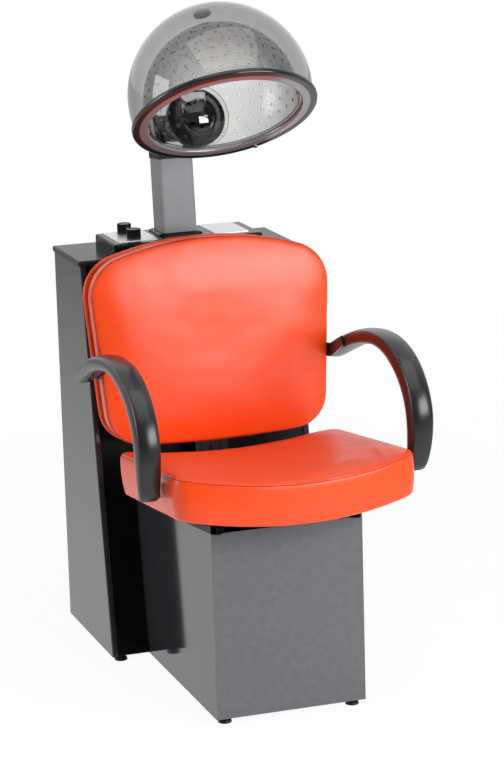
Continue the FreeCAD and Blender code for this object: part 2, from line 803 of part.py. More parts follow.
def cap_of_sphere(name, radius, rise, low):
    """The solid part of a sphere that lies above a level; its centre is at rise on the hood's axis."""
    part = bind(doc.addObject("Part::Sphere", name), Radius=radius)
    drop = (rise - low) / radius
    part.Angle1 = -math.degrees(math.asin(float(drop)))
    part.setExpression("Angle1", "-1 * asin(%s)" % drop.text)
    return in_hood_frame(part, rise)


def dome():
    half = size.ring_thick / 2
    outer = cap_of_sphere("dome_outer", size.dome_radius, size.dome_rise, half)
    inner = in_hood_frame(bind(doc.addObject("Part::Sphere", "dome_inner"), Radius=size.dome_radius - size.dome_wall),
                          size.dome_rise)
    port = doc.addObject("Part::Cylinder", "dome_port")
    bind(port, Radius=size.port_radius, Height=size.dome_radius + size.overrun)
    finish(cut("dome", outer, [inner, in_port_frame(port)]), "hood_dome")


def bowl():
    """The inner bowl, with a flange that lies on the ring."""
    half = size.ring_thick / 2
    outer = cap_of_sphere("bowl_outer", size.bowl_radius, size.bowl_rise, half)
    flange = bind(doc.addObject("Part::Cylinder", "bowl_rim"), Radius=size.bowl_flange, Height=size.bowl_wall)
    in_hood_frame(flange, half)
    inner = in_hood_frame(bind(doc.addObject("Part::Sphere", "bowl_inner"), Radius=size.bowl_radius - size.bowl_wall),
                          size.bowl_rise)
    finish(cut("bowl", fuse("bowl_solid", [outer, flange]), [inner]), "inner_bowl")


def port_pieces():
    """The flange ring inside the dome and the diffuser that stands in the port."""
    inside = size.dome_radius - size.dome_wall
    skin = in_port_frame(bind(doc.addObject("Part::Sphere", "flange_skin"), Radius=inside - size.clearance))
    core = in_port_frame(bind(doc.addObject("Part::Sphere", "flange_core"), Radius=inside - size.flange_gauge))
    disc = doc.addObject("Part::Cylinder", "flange_disc")
    in_port_frame(bind(disc, Radius=size.flange_radius, Height=size.dome_radius))
    hole = doc.addObject("Part::Cylinder", "flange_hole")
    in_port_frame(bind(hole, Radius=size.port_radius, Height=size.dome_radius + size.overrun))
    plug = doc.addObject("Part::MultiCommon", "flange_plug")
    plug.Shapes = [skin, disc]
    finish(cut("flange", plug, [core, hole]), "port_flange")

    body = in_port_frame(new_body("diffuser"), z=seat_of_diffuser() - size.diffuser_skirt)
    ball = size.diffuser_ball
    depth = leg(ball, size.diffuser_radius)
    thin = ball - size.diffuser_wall
    sketch = new_sketch(body, "XZ")
    ball_arc(sketch, ball, thin, depth)
    turned(body, sketch)
    skirt = new_sketch(body, "XY", -size.diffuser_rim)
    circle(skirt, 0, 0, size.diffuser_radius)
    circle(skirt, 0, 0, size.diffuser_radius - size.diffuser_rim)
    pad(body, skirt, size.diffuser_skirt + size.diffuser_rim)
    hole = new_sketch(body, "XY")
    circle(hole, size.diffuser_hole_circle, 0, size.diffuser_hole / 2)
    bore = pocket(body, hole, size.diffuser_ball)
    holes = body.newObject("PartDesign::PolarPattern", "diffuser_holes")
    holes.Originals = [bore]
    holes.Axis = (hole, ["N_Axis"])
    holes.Angle = 360
    holes.Occurrences = int(float(size.diffuser_hole_count))
    body.Tip = holes
    finish(body, "air_diffuser")


def ball_arc(sketch, ball, thin, depth):
    """Half the section of a shallow cap: two arcs about one centre, closed by two short lines."""
    outer_end = Vector(float(leg(ball, depth)), 0, 0)
    inner_end = Vector(float(leg(thin, depth)), 0, 0)
    middle = Vector(0, float(depth), 0)
    low = -math.pi / 2
    for radius, end in ((ball, outer_end), (thin, inner_end)):
        arc = Part.ArcOfCircle(Part.Circle(middle, Vector(0, 0, 1), float(radius)), low,
                               math.atan2(end.y - middle.y, end.x))
        sketch.addGeometry(arc)
    bottom = Vector(0, float(depth - ball), 0)
    top = Vector(0, float(depth - thin), 0)
    sketch.addGeometry(Part.LineSegment(bottom, top))
    sketch.addGeometry(Part.LineSegment(outer_end, inner_end))
    for first, end, second, start in ((0, 1, 2, 1), (1, 1, 2, 2), (0, 2, 3, 1), (1, 2, 3, 2)):
        sketch.addConstraint(Sketcher.Constraint("Coincident", first, end, second, start))
    sketch.addConstraint(Sketcher.Constraint("Coincident", 0, 3, 1, 3))
    hold_point(sketch, 0, 3, 0, depth)
    for point in ((2, 1), (2, 2)):
        sketch.addConstraint(Sketcher.Constraint("PointOnObject", point[0], point[1], -2))
    for point in ((3, 1), (3, 2)):
        sketch.addConstraint(Sketcher.Constraint("PointOnObject", point[0], point[1], -1))
    for arc, radius in ((0, ball), (1, thin)):
        row = sketch.addConstraint(Sketcher.Constraint("Radius", arc, float(radius)))
        sketch.setExpression("Constraints[%d]" % row, radius.text)


def seat_of_diffuser():
    """Level of the shoulder in the port frame that the diffuser's rim lies on."""
    return size.dome_radius + size.diffuser_rim


def neck():
    """The hollow duct from the hinge drum to the saddle on the dome."""
    length = size.post_width - 2 * size.cheek_gauge - 2 * size.clearance
    start = -length / 2
    wall = size.drum_wall
    drum = along_x("neck_drum", size.drum_radius, length, start, hinge_y, hinge_z)
    chamber = along_x("neck_chamber", size.drum_radius - wall, length - 2 * wall, start + wall, hinge_y, hinge_z)
    bore = along_x("neck_bore", size.pin_diameter / 2 + size.running_gap, length + size.overrun,
                   start - size.overrun / 2, hinge_y, hinge_z)
    mouth_width = length - 4 * wall
    mouth = box("neck_mouth", -mouth_width / 2, hinge_y - size.drum_radius / 2, hinge_z - size.drum_radius - wall,
                mouth_width, size.drum_radius, size.drum_radius)
    shoulder = seat_of_diffuser()
    saddle_top = size.dome_radius + size.saddle_thick
    saddle = doc.addObject("Part::Cylinder", "neck_saddle")
    bind(saddle, Radius=size.saddle_radius, Height=size.saddle_thick + size.saddle_thick)
    in_port_frame(saddle, z=saddle_top - 2 * size.saddle_thick)
    hollow = in_port_frame(bind(doc.addObject("Part::Sphere", "neck_hollow"), Radius=size.dome_radius))
    seat = doc.addObject("Part::Cylinder", "neck_seat")
    in_port_frame(bind(seat, Radius=size.port_radius, Height=shoulder))

    def loft(name, throat, mouth_radius, level):
        start_ring = doc.addObject("Part::Circle", name + "_throat")
        place(bind(start_ring, Radius=throat), 0, hinge_y, hinge_z, angle=90)
        end_ring = in_port_frame(bind(doc.addObject("Part::Circle", name + "_port"), Radius=mouth_radius), z=level)
        result = doc.addObject("Part::Loft", name)
        result.Sections = [end_ring, start_ring]
        result.Solid = True
        result.Ruled = True
        return result

    root = size.dome_radius + size.saddle_thick / 2
    duct = loft("neck_duct", size.throat_radius, size.port_bore + size.duct_wall, root)
    passage = loft("neck_passage", size.throat_radius - size.duct_wall, size.port_bore, shoulder - size.clearance)
    solid = fuse("neck_solid", [duct, drum, saddle])
    finish(cut("neck", solid, [passage, chamber, bore, mouth, hollow, seat]), "hood_neck")


def grommet():
    body = bind(doc.addObject("Part::Cylinder", "grommet_blank"), Radius=size.grommet_radius,
                Height=2 * size.grommet_height)
    in_hood_frame(body, size.dome_rise + size.dome_radius - size.grommet_height)
    hollow = in_hood_frame(bind(doc.addObject("Part::Sphere", "grommet_hollow"), Radius=size.dome_radius),
                           size.dome_rise)
    finish(cut("grommet", body, [hollow]), "top_grommet")


def ring_clips():
    """The clip on the ring's lower face."""
    tilt = size.hood_tilt
    level = -size.ring_thick / 2 - size.clip_height
    along = size.clip_circle * cosine(size.clip_turn)
    clip = cylinder(
        "clip",
        size.clip_radius,
        size.clip_height,
        size.clip_circle * sine(size.clip_turn),
        hood_y + along * cosine(tilt) + level * sine(tilt),
        size.ring_height - along * sine(tilt) + level * cosine(tilt),
        angle=-tilt,
    )
    finish(clip, "ring_clips")


# Blower, heater and duct

def blower():
    """The shelf, scroll housing, motor, heater box and duct in the cabinet."""
    gauge = size.sheet_gauge
    shelf_half = half_width - gauge
    y = rear - size.blower_station
    z = size.shelf_height + gauge + size.blower_base / 2 + size.blower_radius
    finish(
        box("shelf", -shelf_half, y - size.shelf_depth / 2, size.shelf_height, 2 * shelf_half, size.shelf_depth, gauge),
        "blower_shelf",
    )
    half = size.blower_width / 2
    wall = size.blower_wall
    outlet_top = z + size.blower_radius + size.outlet_rise
    scroll = along_x("scroll_outer", size.blower_radius, size.blower_width, -half, y, z)
    chimney = box("scroll_chimney", -half, y - size.blower_radius, z, size.blower_width, size.outlet_depth,
                  outlet_top - z)
    plinth = box("scroll_base", -half, y - size.blower_radius / 2, size.shelf_height + gauge, size.blower_width,
                 size.blower_radius, size.blower_base)
    inside = along_x("scroll_inner", size.blower_radius - wall, size.blower_width - 2 * wall, wall - half, y, z)
    way = box("scroll_way", wall - half, y - size.blower_radius + wall, z, size.blower_width - 2 * wall,
              size.outlet_depth - 2 * wall, outlet_top - z + size.overrun)
    inlet = along_x("scroll_inlet", size.inlet_radius, size.overrun, -half - size.overrun / 2, y, z)
    shaft_hole = along_x("scroll_hole", size.motor_shaft / 2 + size.clearance, size.overrun, half - size.overrun / 2,
                         y, z)
    finish(cut("scroll", fuse("scroll_solid", [scroll, chimney, plinth]), [inside, way, inlet, shaft_hole]),
           "blower_housing")

    can = along_x("motor_can", size.motor_radius, size.motor_length, half, y, z)
    bore = along_x("motor_bore", size.motor_shaft / 2 + size.running_gap, size.motor_length - wall, half, y, z)
    finish(cut("motor", can, [bore]), "blower_motor")

    body = place(new_body("wheel"), -size.wheel_width / 2, y, z, Vector(0, 1, 0), 90)
    disc = new_sketch(body, "XY")
    circle(disc, 0, 0, size.wheel_radius)
    pad(body, disc, size.wheel_disc)
    blade = new_sketch(body, "XY")
    edge = size.wheel_radius - size.wheel_disc
    rectangle(blade, edge - size.blade_depth, -size.blade_gauge / 2, edge, size.blade_gauge / 2)
    vane = pad(body, blade, size.wheel_width)
    hub = new_sketch(body, "XY")
    circle(hub, 0, 0, size.hub_radius)
    pad(body, hub, size.wheel_width / 2)
    shaft = new_sketch(body, "XY")
    circle(shaft, 0, 0, size.motor_shaft / 2)
    pad(body, shaft, size.wheel_width / 2 + half + size.motor_length - 2 * wall)
    vanes = body.newObject("PartDesign::PolarPattern", "wheel_vanes")
    vanes.Originals = [vane]
    vanes.Axis = (blade, ["N_Axis"])
    vanes.Angle = 360
    vanes.Occurrences = int(float(size.blade_count))
    body.Tip = vanes
    finish(body, "blower_wheel")

    width = size.heater_width
    depth = size.heater_depth
    height = size.heater_height
    front = y - size.blower_radius
    shell = box("heater_shell", -width / 2, front, outlet_top, width, depth, height)
    room = box("heater_room", gauge - width / 2, front + gauge, outlet_top + gauge, width - 2 * gauge,
               depth - 2 * gauge, height - 2 * gauge)
    entry = box("heater_entry", wall - half, front + wall, outlet_top - size.overrun, size.blower_width - 2 * wall,
                size.outlet_depth - 2 * wall, 2 * size.overrun)
    gap = size.post_wall + size.duct_gap
    duct_width = size.post_width - 2 * gap
    duct_depth = size.post_depth - 2 * gap
    way_up = prism("heater_exit", duct_width - 2 * gauge, duct_depth - 2 * gauge, -size.duct_reach, 0)
    finish(cut("heater", shell, [room, entry, way_up]), "heater_box")
    rods = []
    for row in range(int(float(size.heater_rod_count))):
        share = (row + 1) / (float(size.heater_rod_count) + 1)
        rods.append(along_x("heater_rod", size.heater_rod / 2, width - 2 * gauge, gauge - width / 2,
                            front + depth * share, outlet_top + height / 2))
    finish(group("rods", rods), "heater_rods")

    outer = prism("duct_outer", duct_width, duct_depth, -size.duct_reach, -size.duct_stop)
    inner = prism("duct_inner", duct_width - 2 * gauge, duct_depth - 2 * gauge, -size.duct_reach - size.overrun, 0)
    below = box("duct_below", -half_width, rear - size.cabinet_depth_low, base, size.cabinet_width,
                size.cabinet_depth_low, outlet_top + height - base)
    finish(cut("duct", outer, [inner, below]), "air_duct")


def power_inlet():
    """The socket in the back panel that a mains lead plugs into."""
    middle = size.inlet_inset - half_width
    low = base + size.inlet_rise
    width = size.inlet_width
    height = size.inlet_height
    flange = size.inlet_flange
    gauge = size.sheet_gauge
    wall = size.socket_wall
    shell = box("inlet_shell", middle - width / 2, rear - size.inlet_depth, low, width, size.inlet_depth, height)
    plate = box("inlet_plate", middle - width / 2 - flange, rear - 2 * gauge, low - wall, width + 2 * flange, gauge,
                height + 2 * wall)
    room = box("inlet_room", middle - width / 2 + wall, rear - size.socket_depth, low + wall, width - 2 * wall,
               size.socket_depth + size.overrun, height - 2 * wall)
    contacts = [
        box("inlet_contact", middle + side * size.contact_pitch - size.contact_gauge / 2,
            rear - size.socket_depth, low + height / 2 - size.contact_width / 2, size.contact_gauge,
            size.contact_length, size.contact_width)
        for side in (-1, 0, 1)
    ]
    hollow = cut("inlet_hollow", fuse("inlet_solid", [shell, plate]), [room])
    finish(fuse("inlet", [hollow] + contacts), "power_inlet")


# Box under the seat

def pedestal():
    gauge = size.sheet_gauge
    rake = tangent(size.seat_rake)
    half = size.pedestal_width / 2
    front = pedestal_front + gauge
    top = size.pedestal_height - gauge * rake
    foot_y = cabinet_front_at(base)
    lean = cabinet_slope * rake
    top_rear = (top - (foot_y - cabinet_slope * base - front) * rake) / (1 + lean)
    outer = ((front, base), (foot_y, base), (cabinet_front_at(top_rear), top_rear), (front, top))
    inner = (
        (front + gauge, base + gauge),
        (foot_y - gauge, base + gauge),
        (cabinet_front_at(top_rear) - gauge, top_rear - gauge),
        (front + gauge, top - gauge),
    )
    right = side_tray("pedestal_right", outer, inner, half - size.panel_fold)
    finish(right, "pedestal_right_panel")
    finish(mirrored("pedestal_left", right), "pedestal_left_panel")
    finish(box("pedestal_face", -half, pedestal_front, base, size.pedestal_width, gauge, top - base),
           "pedestal_front_panel")
    feet = foot_places(pedestal_front, foot_y, half)
    floor_plate("pedestal_floor", "pedestal_floor_plate", half - gauge, front + 2 * gauge, foot_y - 2 * gauge, feet)
    return feet


# Feet

def foot(name, label, x, y):
    """A levelling foot: a round pad, a neck and a threaded stem."""
    body = place(new_body(name), x, y)
    profile = new_sketch(body, "XZ")
    stem = size.stem_diameter / 2
    pad_radius = size.foot_radius
    shoulder = base + size.sheet_gauge - size.clearance
    edge = size.foot_edge
    polygon(profile, (
        (0, 0), (pad_radius - edge, 0), (pad_radius, edge), (pad_radius - edge, size.foot_pad - edge),
        (size.foot_neck, size.foot_pad), (size.foot_neck, shoulder), (stem, shoulder),
        (stem, base + size.stem_length), (0, base + size.stem_length),
    ))
    turned(body, profile)
    finish(body, label)


def nuts(places):
    """Nuts on the floor plates, one above each foot."""
    level = base + 2 * size.sheet_gauge
    pieces = []
    for x, y in places:
        nut = doc.addObject("Part::Prism", "nut_blank")
        nut.Polygon = 6
        bind(nut, Circumradius=size.nut_width / 2 / cosine(30), Height=size.nut_height)
        place(nut, x, y, level)
        hole = cylinder("nut_hole", size.stem_diameter / 2 + 2 * size.running_gap, size.nut_height, x, y, level)
        pieces.append(cut("nut", nut, [hole]))
    finish(group("nuts", pieces), "foot_nuts")


# Soft outlines

def cushion_outline(low, high, half_low, half_high, low_round, high_round, low_corner, high_corner, inset, lay):
    """A closed line of arcs: a bowed low and high edge, tapered sides and round corners, drawn in by inset."""
    span = Vector(half_high - half_low, high - low, 0)
    along = span * (1 / span.Length)
    inward = Vector(-along.y, along.x, 0)
    start = Vector(half_low - inset, low, 0)

    def corner(centre_y, big, small, sign):
        ring_centre = Vector(0, centre_y, 0)
        offset = start + inward * small - ring_centre
        project = offset.dot(along)
        root = math.sqrt(project * project - offset.dot(offset) + (big - small) * (big - small))
        middle = ring_centre + offset + along * (sign * root - project)
        side = middle - inward * small
        out = middle - ring_centre
        edge = ring_centre + out * (big / out.Length)
        lean = (side - middle) + (edge - middle)
        return side, middle + lean * (small / lean.Length), edge

    edge_low = low + inset
    edge_high = high - inset
    small_low = low_corner - inset * low_corner / (low_corner + abs(inset))
    small_high = high_corner - inset * high_corner / (high_corner + abs(inset))
    low_side, low_middle, low_edge = corner(edge_low + low_round - inset, low_round - inset, small_low, -1)
    high_side, high_middle, high_edge = corner(edge_high - high_round + inset, high_round - inset, small_high, 1)

    def right(point):
        return lay(point.x, point.y)

    def left(point):
        return lay(-point.x, point.y)

    edges = (
        Part.LineSegment(right(low_side), right(high_side)),
        Part.Arc(right(high_side), right(high_middle), right(high_edge)),
        Part.Arc(right(high_edge), lay(0, edge_high), left(high_edge)),
        Part.Arc(left(high_edge), left(high_middle), left(high_side)),
        Part.LineSegment(left(high_side), left(low_side)),
        Part.Arc(left(low_side), left(low_middle), left(low_edge)),
        Part.Arc(left(low_edge), lay(0, edge_low), right(low_edge)),
        Part.Arc(right(low_edge), right(low_middle), right(low_side)),
    )
    return Part.Wire([edge.toShape() for edge in edges])


def seat_wire(level, inset):
    values = (-size.seat_front, size.seat_rear, size.seat_half_front, size.seat_half_rear, size.seat_front_round,
              size.seat_rear_round, size.seat_front_corner, size.seat_rear_corner)
    return cushion_outline(*[float(value) for value in values], inset, lambda x, y: Vector(x, y, level))


def back_wire(level, inset):
    values = (-size.back_drop, size.back_rise, size.back_half_low, size.back_half_high, size.back_low_round,
              size.back_high_round, size.back_low_corner, size.back_high_corner)
    return cushion_outline(*[float(value) for value in values], inset, lambda x, y: Vector(x, level, y))


def crowned(boxing, crown):
    """A boxing and its crown joined along their seam."""
    return Part.makeLoft(boxing, True, False).fuse(Part.makeLoft(crown, True, False))


def bend_core(level, growth):
    """A long round core lying across the seat, whose lowest line is at a level of the seat's axes."""
    reach = float(size.seat_rear + size.seat_front) + 2 * float(size.overrun)
    start = -float(size.seat_front) - float(size.overrun)
    bend = float(size.seat_bend)
    return Part.makeCylinder(bend + growth, reach, Vector(0, start, float(level) + bend), Vector(0, 1, 0))


def on_core(edge, level, growth):
    """Whether an edge lies on the core at this level."""
    radius = float(size.seat_bend) + growth
    middle = float(level) + float(size.seat_bend)
    ends = [edge.valueAt(edge.FirstParameter), edge.valueAt(edge.LastParameter), edge.CenterOfMass]
    return all(abs(math.hypot(end.x, end.z - middle) - radius) < float(size.clearance) for end in ends)


def seat_shape(growth=0.0):
    """The seat cushion: upright walls between a lower and an upper face bent up towards the sides."""
    walls = []
    for rise_share, draw_share in SEAT_SIDE_SHARES:
        walls.append(seat_wire(rise_share * float(size.seat_stack), draw_share * float(size.seat_draw) - growth))
    top = seat_base + size.seat_thick
    pad_shape = Part.makeLoft(walls, True, False)
    pad_shape = pad_shape.common(bend_core(seat_base, growth)).cut(bend_core(top, -growth))
    upper = [edge for edge in pad_shape.Edges if on_core(edge, top, -growth)]
    pad_shape = pad_shape.makeFillet(float(size.seat_edge), upper)
    lower = [edge for edge in pad_shape.Edges if on_core(edge, seat_base, growth)]
    return pad_shape.makeFillet(float(size.seat_foot_edge), lower)


def seat():
    """The seat cushion, the bent board let into its underside, the rails under it and their bolts."""
    under_board = bend_core(seat_base, float(size.board_gauge - size.board_sink))
    board = Part.Face(seat_wire(0, float(size.board_inset))).extrude(Vector(0, 0, float(size.seat_thick)))
    board = board.common(under_board).cut(bend_core(seat_base, -float(size.board_sink)))
    finish(in_seat_frame(shaped("seat_pad", seat_shape().cut(board))), "seat_cushion")
    plate = in_seat_frame(shaped("seat_plate", board))
    holes = [bolt_shape("board_hole", x, y, size.running_gap) for x, y in bolt_places()]
    finish(cut("board", plate, holes), "seat_board")
    half = size.pedestal_width / 2
    rails = []
    for low in (-half, half - size.rail_width):
        rail = doc.addObject("Part::Box", "rail")
        blank = size.rail_height + board_lift(half) + size.overrun
        bind(rail, Length=size.rail_width, Width=size.rail_length, Height=blank)
        rails.append(in_seat_frame(rail, low, -size.rail_overhang, 0))
    bed = in_seat_frame(shaped("rail_bed", under_board))
    drills = [bolt_shape("rail_hole", x, y, size.running_gap) for x, y in bolt_places()]
    finish(cut("rails", group("rail_pair", rails), [bed] + drills), "seat_rails")
    bolts = []
    for x, y in bolt_places():
        head = doc.addObject("Part::Cylinder", "bolt_cap")
        bind(head, Radius=size.bolt_head / 2, Height=size.bolt_head_height)
        in_seat_frame(head, x, y, -size.bolt_head_height)
        bolts.append(fuse("seat_bolt", [bolt_shape("bolt_shank", x, y, 0), head]))
    finish(group("bolts", bolts), "seat_bolts")


def board_lift(x):
    """How far the bent board rises above its middle at a place across the seat."""
    return x * x / (size.seat_bend * 2)


def bolt_places():
    half = size.pedestal_width / 2
    near = -size.bolt_inset
    far = size.rail_length - size.rail_overhang - size.bolt_inset
    inner = half - size.panel_fold - size.bolt_head
    return [(-half + size.bolt_inset, near), (half - size.bolt_inset, near), (-inner, far), (inner, far)]


def bolt_shape(name, x, y, growth):
    shank = doc.addObject("Part::Cylinder", name)
    length = size.rail_height + board_lift(x) + size.bolt_grip
    bind(shank, Radius=size.bolt_diameter / 2 + growth, Height=length)
    return in_seat_frame(shank, x, y)


def back():
    """The back cushion, the board behind it and the upholstered rear panel."""
    boxing = []
    for depth_share, round_share in BACK_SIDE_SHARES:
        level = float(size.back_boxing) * (1 - depth_share)
        boxing.append(back_wire(level, round_share * float(size.shell_round)))
    crown = [
        back_wire(-rise_share * float(size.back_crown), inset_share * float(size.back_crown_inset))
        for rise_share, inset_share in CROWN_SHARES
    ]
    finish(in_back_frame(shaped("back_pad", crowned(boxing, crown))), "back_cushion")

    board = Part.Face(back_wire(float(size.back_boxing), float(size.back_board_inset)))
    board = board.extrude(Vector(0, float(size.board_gauge), 0))
    finish(in_back_frame(shaped("back_plate", board)), "back_board")

    shell_front = size.back_boxing + size.board_gauge
    wires = []
    for depth_share, round_share in SHELL_SHARES:
        level = float(shell_front) + depth_share * float(size.shell_thick)
        wires.append(back_wire(level, round_share * float(size.shell_round)))
    panel = in_back_frame(shaped("shell_blank", Part.makeLoft(wires, True, False)))
    gap = size.clearance
    slot = doc.addObject("Part::Box", "shell_slot")
    bind(slot, Length=size.bracket_width + 2 * gap, Width=size.bracket_gauge + gap + size.overrun,
         Height=size.bracket_rise + gap + size.back_drop + size.overrun)
    in_back_frame(slot, -size.bracket_width / 2 - gap, shell_front - size.overrun, -size.back_drop - size.overrun)
    channels = []
    for side in (-1, 1):
        channel = doc.addObject("Part::Box", "shell_channel")
        bind(channel, Length=size.arm_gap, Width=size.strap_gauge + gap + size.overrun,
             Height=size.strap_height + 2 * gap)
        low = size.strap_root - gap if side > 0 else gap - size.strap_root - size.arm_gap
        channels.append(in_back_frame(channel, low, shell_front - size.overrun, strap_level() - gap))
    finish(cut("shell", panel, [slot] + channels), "back_shell")


def arm_point(row):
    """A point of the arm's midline."""
    reach_share, rise_share = ARM_SHARES[row][:2]
    y = rear - size.arm_back - size.arm_length * reach_share
    z = size.arm_foot + size.arm_rise * rise_share
    return y, z


def to_back_frame(y, z):
    """Depth and height in the back's axes of a point of the whole chair."""
    depth = y - (rear - size.back_station)
    height = z - size.back_base
    tilt = size.back_tilt
    return depth * cosine(tilt) - height * sine(tilt), depth * sine(tilt) + height * cosine(tilt)


def strap_level():
    """Lower edge of the rear arm straps, in the back's axes."""
    return to_back_frame(*arm_point(0))[1] - size.strap_drop


def back_bracket():
    """The ribbed angle that joins the seat board to the back board."""
    rake = size.seat_rake
    tilt = size.back_tilt
    gauge = size.bracket_gauge
    width = size.bracket_width
    face = size.back_boxing + size.board_gauge
    level = size.rail_height - gauge
    foot_y = rear - size.back_station + face * cosine(tilt)
    lift = cosine(tilt) + sine(tilt) * tangent(rake)
    low = (size.pedestal_height + level / cosine(rake) - (foot_y - pedestal_front) * tangent(rake)
           - size.back_base + face * sine(tilt)) / lift
    post_y_low = foot_y + low * sine(tilt)
    reach = (post_y_low - pedestal_front - level * sine(rake)) / cosine(rake) + gauge
    upright_leg = doc.addObject("Part::Box", "bracket_upright")
    bind(upright_leg, Length=width, Width=gauge, Height=size.bracket_rise - low)
    in_back_frame(upright_leg, -width / 2, face, low)
    tongue = doc.addObject("Part::Box", "bracket_tongue")
    bind(tongue, Length=width, Width=size.bracket_tongue, Height=gauge)
    in_seat_frame(tongue, -width / 2, reach - size.bracket_tongue, level)
    ribs = []
    for side in (-1, 0, 1):
        rib = doc.addObject("Part::Box", "bracket_rib")
        bind(rib, Length=size.rib_width, Width=size.rib_depth + gauge / 2,
             Height=-size.back_drop - size.rib_width - low - gauge)
        x = side * size.rib_pitch - size.rib_width / 2
        ribs.append(in_back_frame(rib, x, face - size.rib_depth, low + gauge))
    finish(fuse("bracket", [upright_leg, tongue] + ribs), "back_bracket")


# Arms

def arm_section(row):
    """One cross-section of the arm, square to its midline: four bulged sides."""
    y, z = [float(value) for value in arm_point(row)]
    before = arm_point(max(row - 1, 0))
    after = arm_point(min(row + 1, len(ARM_SHARES) - 1))
    run_y = float(after[0]) - float(before[0])
    run_z = float(after[1]) - float(before[1])
    run = math.hypot(run_y, run_z)
    out_y = run_z / run
    out_z = -run_y / run
    thick_share, width_share = ARM_SHARES[row][2:]
    thick = thick_share * float(size.arm_thick)
    width = width_share * float(size.arm_width)
    middle = float(arm_inner) + width / 2

    def point(x_share, out_share):
        out = out_share * thick
        return Vector(middle + x_share * width, y + out * out_y, z + out * out_z)

    corners = [point(*shares) for shares in ARM_CORNER_SHARES]
    bulges = [point(*shares) for shares in ARM_BULGE_SHARES]
    edges = [
        Part.Arc(corners[side], bulges[side], corners[(side + 1) % 4]).toShape()
        for side in range(4)
    ]
    return Part.Wire(edges)


def arms():
    right = shaped("arm", Part.makeLoft([arm_section(row) for row in range(len(ARM_SHARES))], True, False))
    finish(right, "right_arm")
    finish(mirrored("arm_mirrored", right), "left_arm")
    front_brackets()
    rear_brackets()


def front_brackets():
    """Plates on the inner faces of the arms' lower ends, with bosses that meet the seat's side."""
    back = rear - size.arm_back - size.arm_length * BRACKET_SHARE
    width = size.foot_plate_width
    height = size.foot_plate_height
    x = arm_inner - size.strap_gauge
    low = size.arm_foot - size.strap_gauge / 2
    plate = box("foot_plate", x, back - width, low, size.strap_gauge, width, height)
    pins = [
        along_x("foot_boss", size.boss_radius, size.boss_length, x - size.boss_length, back - 2 * size.boss_radius,
                low + height * share)
        for share in BOSS_SHARES
    ]
    soft = in_seat_frame(shaped("grown_seat", seat_shape(float(size.clearance))))
    right = cut("front_bracket", fuse("front_blank", [plate] + pins), [soft])
    finish(group("front_pair", [right, mirrored("front_bracket_left", right)]), "arm_front_brackets")


def rear_brackets():
    """Angles from behind the back's board to the inner faces of the arms' rear ends."""
    body = in_back_frame(new_body("strap"))
    face = size.back_boxing + size.board_gauge
    gauge = size.strap_gauge
    low = strap_level()
    high = low + size.strap_height
    tip_depth, tip_height = to_back_frame(*arm_point(0))
    end_depth, end_height = to_back_frame(*arm_point(1))
    reach = size.strap_height / 2
    side = new_sketch(body, "YZ", arm_inner - gauge)
    polygon(side, (
        (face, low), (face + gauge, low), (face + gauge, high), (tip_depth, tip_height + reach),
        (end_depth, end_height + size.strap_end), (end_depth, end_height - size.strap_end),
        (tip_depth, tip_height - reach),
    ))
    pad(body, side, gauge)
    flat = new_sketch(body, "XZ", -face - gauge)
    rectangle(flat, size.strap_root, low, arm_inner, high)
    pad(body, flat, gauge)
    left = mirrored("strap_left", body)
    finish(group("straps", [body, left]), "arm_rear_brackets")


def build():
    cabinet_sides()
    cabinet_front()
    cabinet_back()
    feet = foot_places(front_low, rear, half_width)
    setback = size.hem_depth + 2 * size.sheet_gauge
    floor_plate("cabinet_floor", "cabinet_floor_plate", half_width - size.sheet_gauge, front_low + setback,
                rear - size.sheet_gauge, feet)
    cap()
    housing()
    top_plate("control_face", "control_plate", -size.control_plate_offset, size.control_plate_width, True)
    top_plate("label_face", "label_plate", size.label_plate_offset, size.label_plate_width, False)
    rear_knob, front_knob = knob_places()
    knob("timer_dial", "timer_knob", rear_knob)
    knob("heat_dial", "heat_knob", front_knob)
    switch("timer_body", "timer_switch", rear_knob, size.timer_side, size.timer_depth)
    switch("heat_body", "heat_switch", front_knob, size.switch_side, size.switch_depth)
    guide()
    collar()
    post()
    post_head()
    hinge_pin()
    ring()
    dome()
    bowl()
    port_pieces()
    neck()
    grommet()
    ring_clips()
    blower()
    power_inlet()
    seat_feet = pedestal()
    names = ("left_front", "left_rear", "right_front", "right_rear")
    for name, (x, y) in zip(names, feet):
        foot("cabinet_foot", "cabinet_foot_" + name, x, y)
    for name, (x, y) in zip(names, seat_feet):
        foot("seat_foot", "pedestal_foot_" + name, x, y)
    nuts(feet + seat_feet)
    seat()
    back()
    back_bracket()
    arms()


def write_parts():
    doc.recompute()
    for item in doc.Objects:
        if "Invalid" in item.State or "Error" in item.State:
            raise ValueError("%s (%s) did not compute" % (item.Name, item.Label))
    for item in finished:
        if item.Shape.isNull() or not item.Shape.isValid() or not item.Shape.Solids:
            raise ValueError("%s has no valid solid" % item.Label)
    os.makedirs("parts", exist_ok=True)
    for item in finished:
        item.Shape.exportStep("parts/%s.step" % item.Label)
        print("%-26s %d solids %12.0f mm3" % (item.Label, len(item.Shape.Solids), item.Shape.Volume))


build()
write_parts()
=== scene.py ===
import math

import bmesh
import bpy
from mathutils import Matrix, Vector, noise
from mathutils.bvhtree import BVHTree


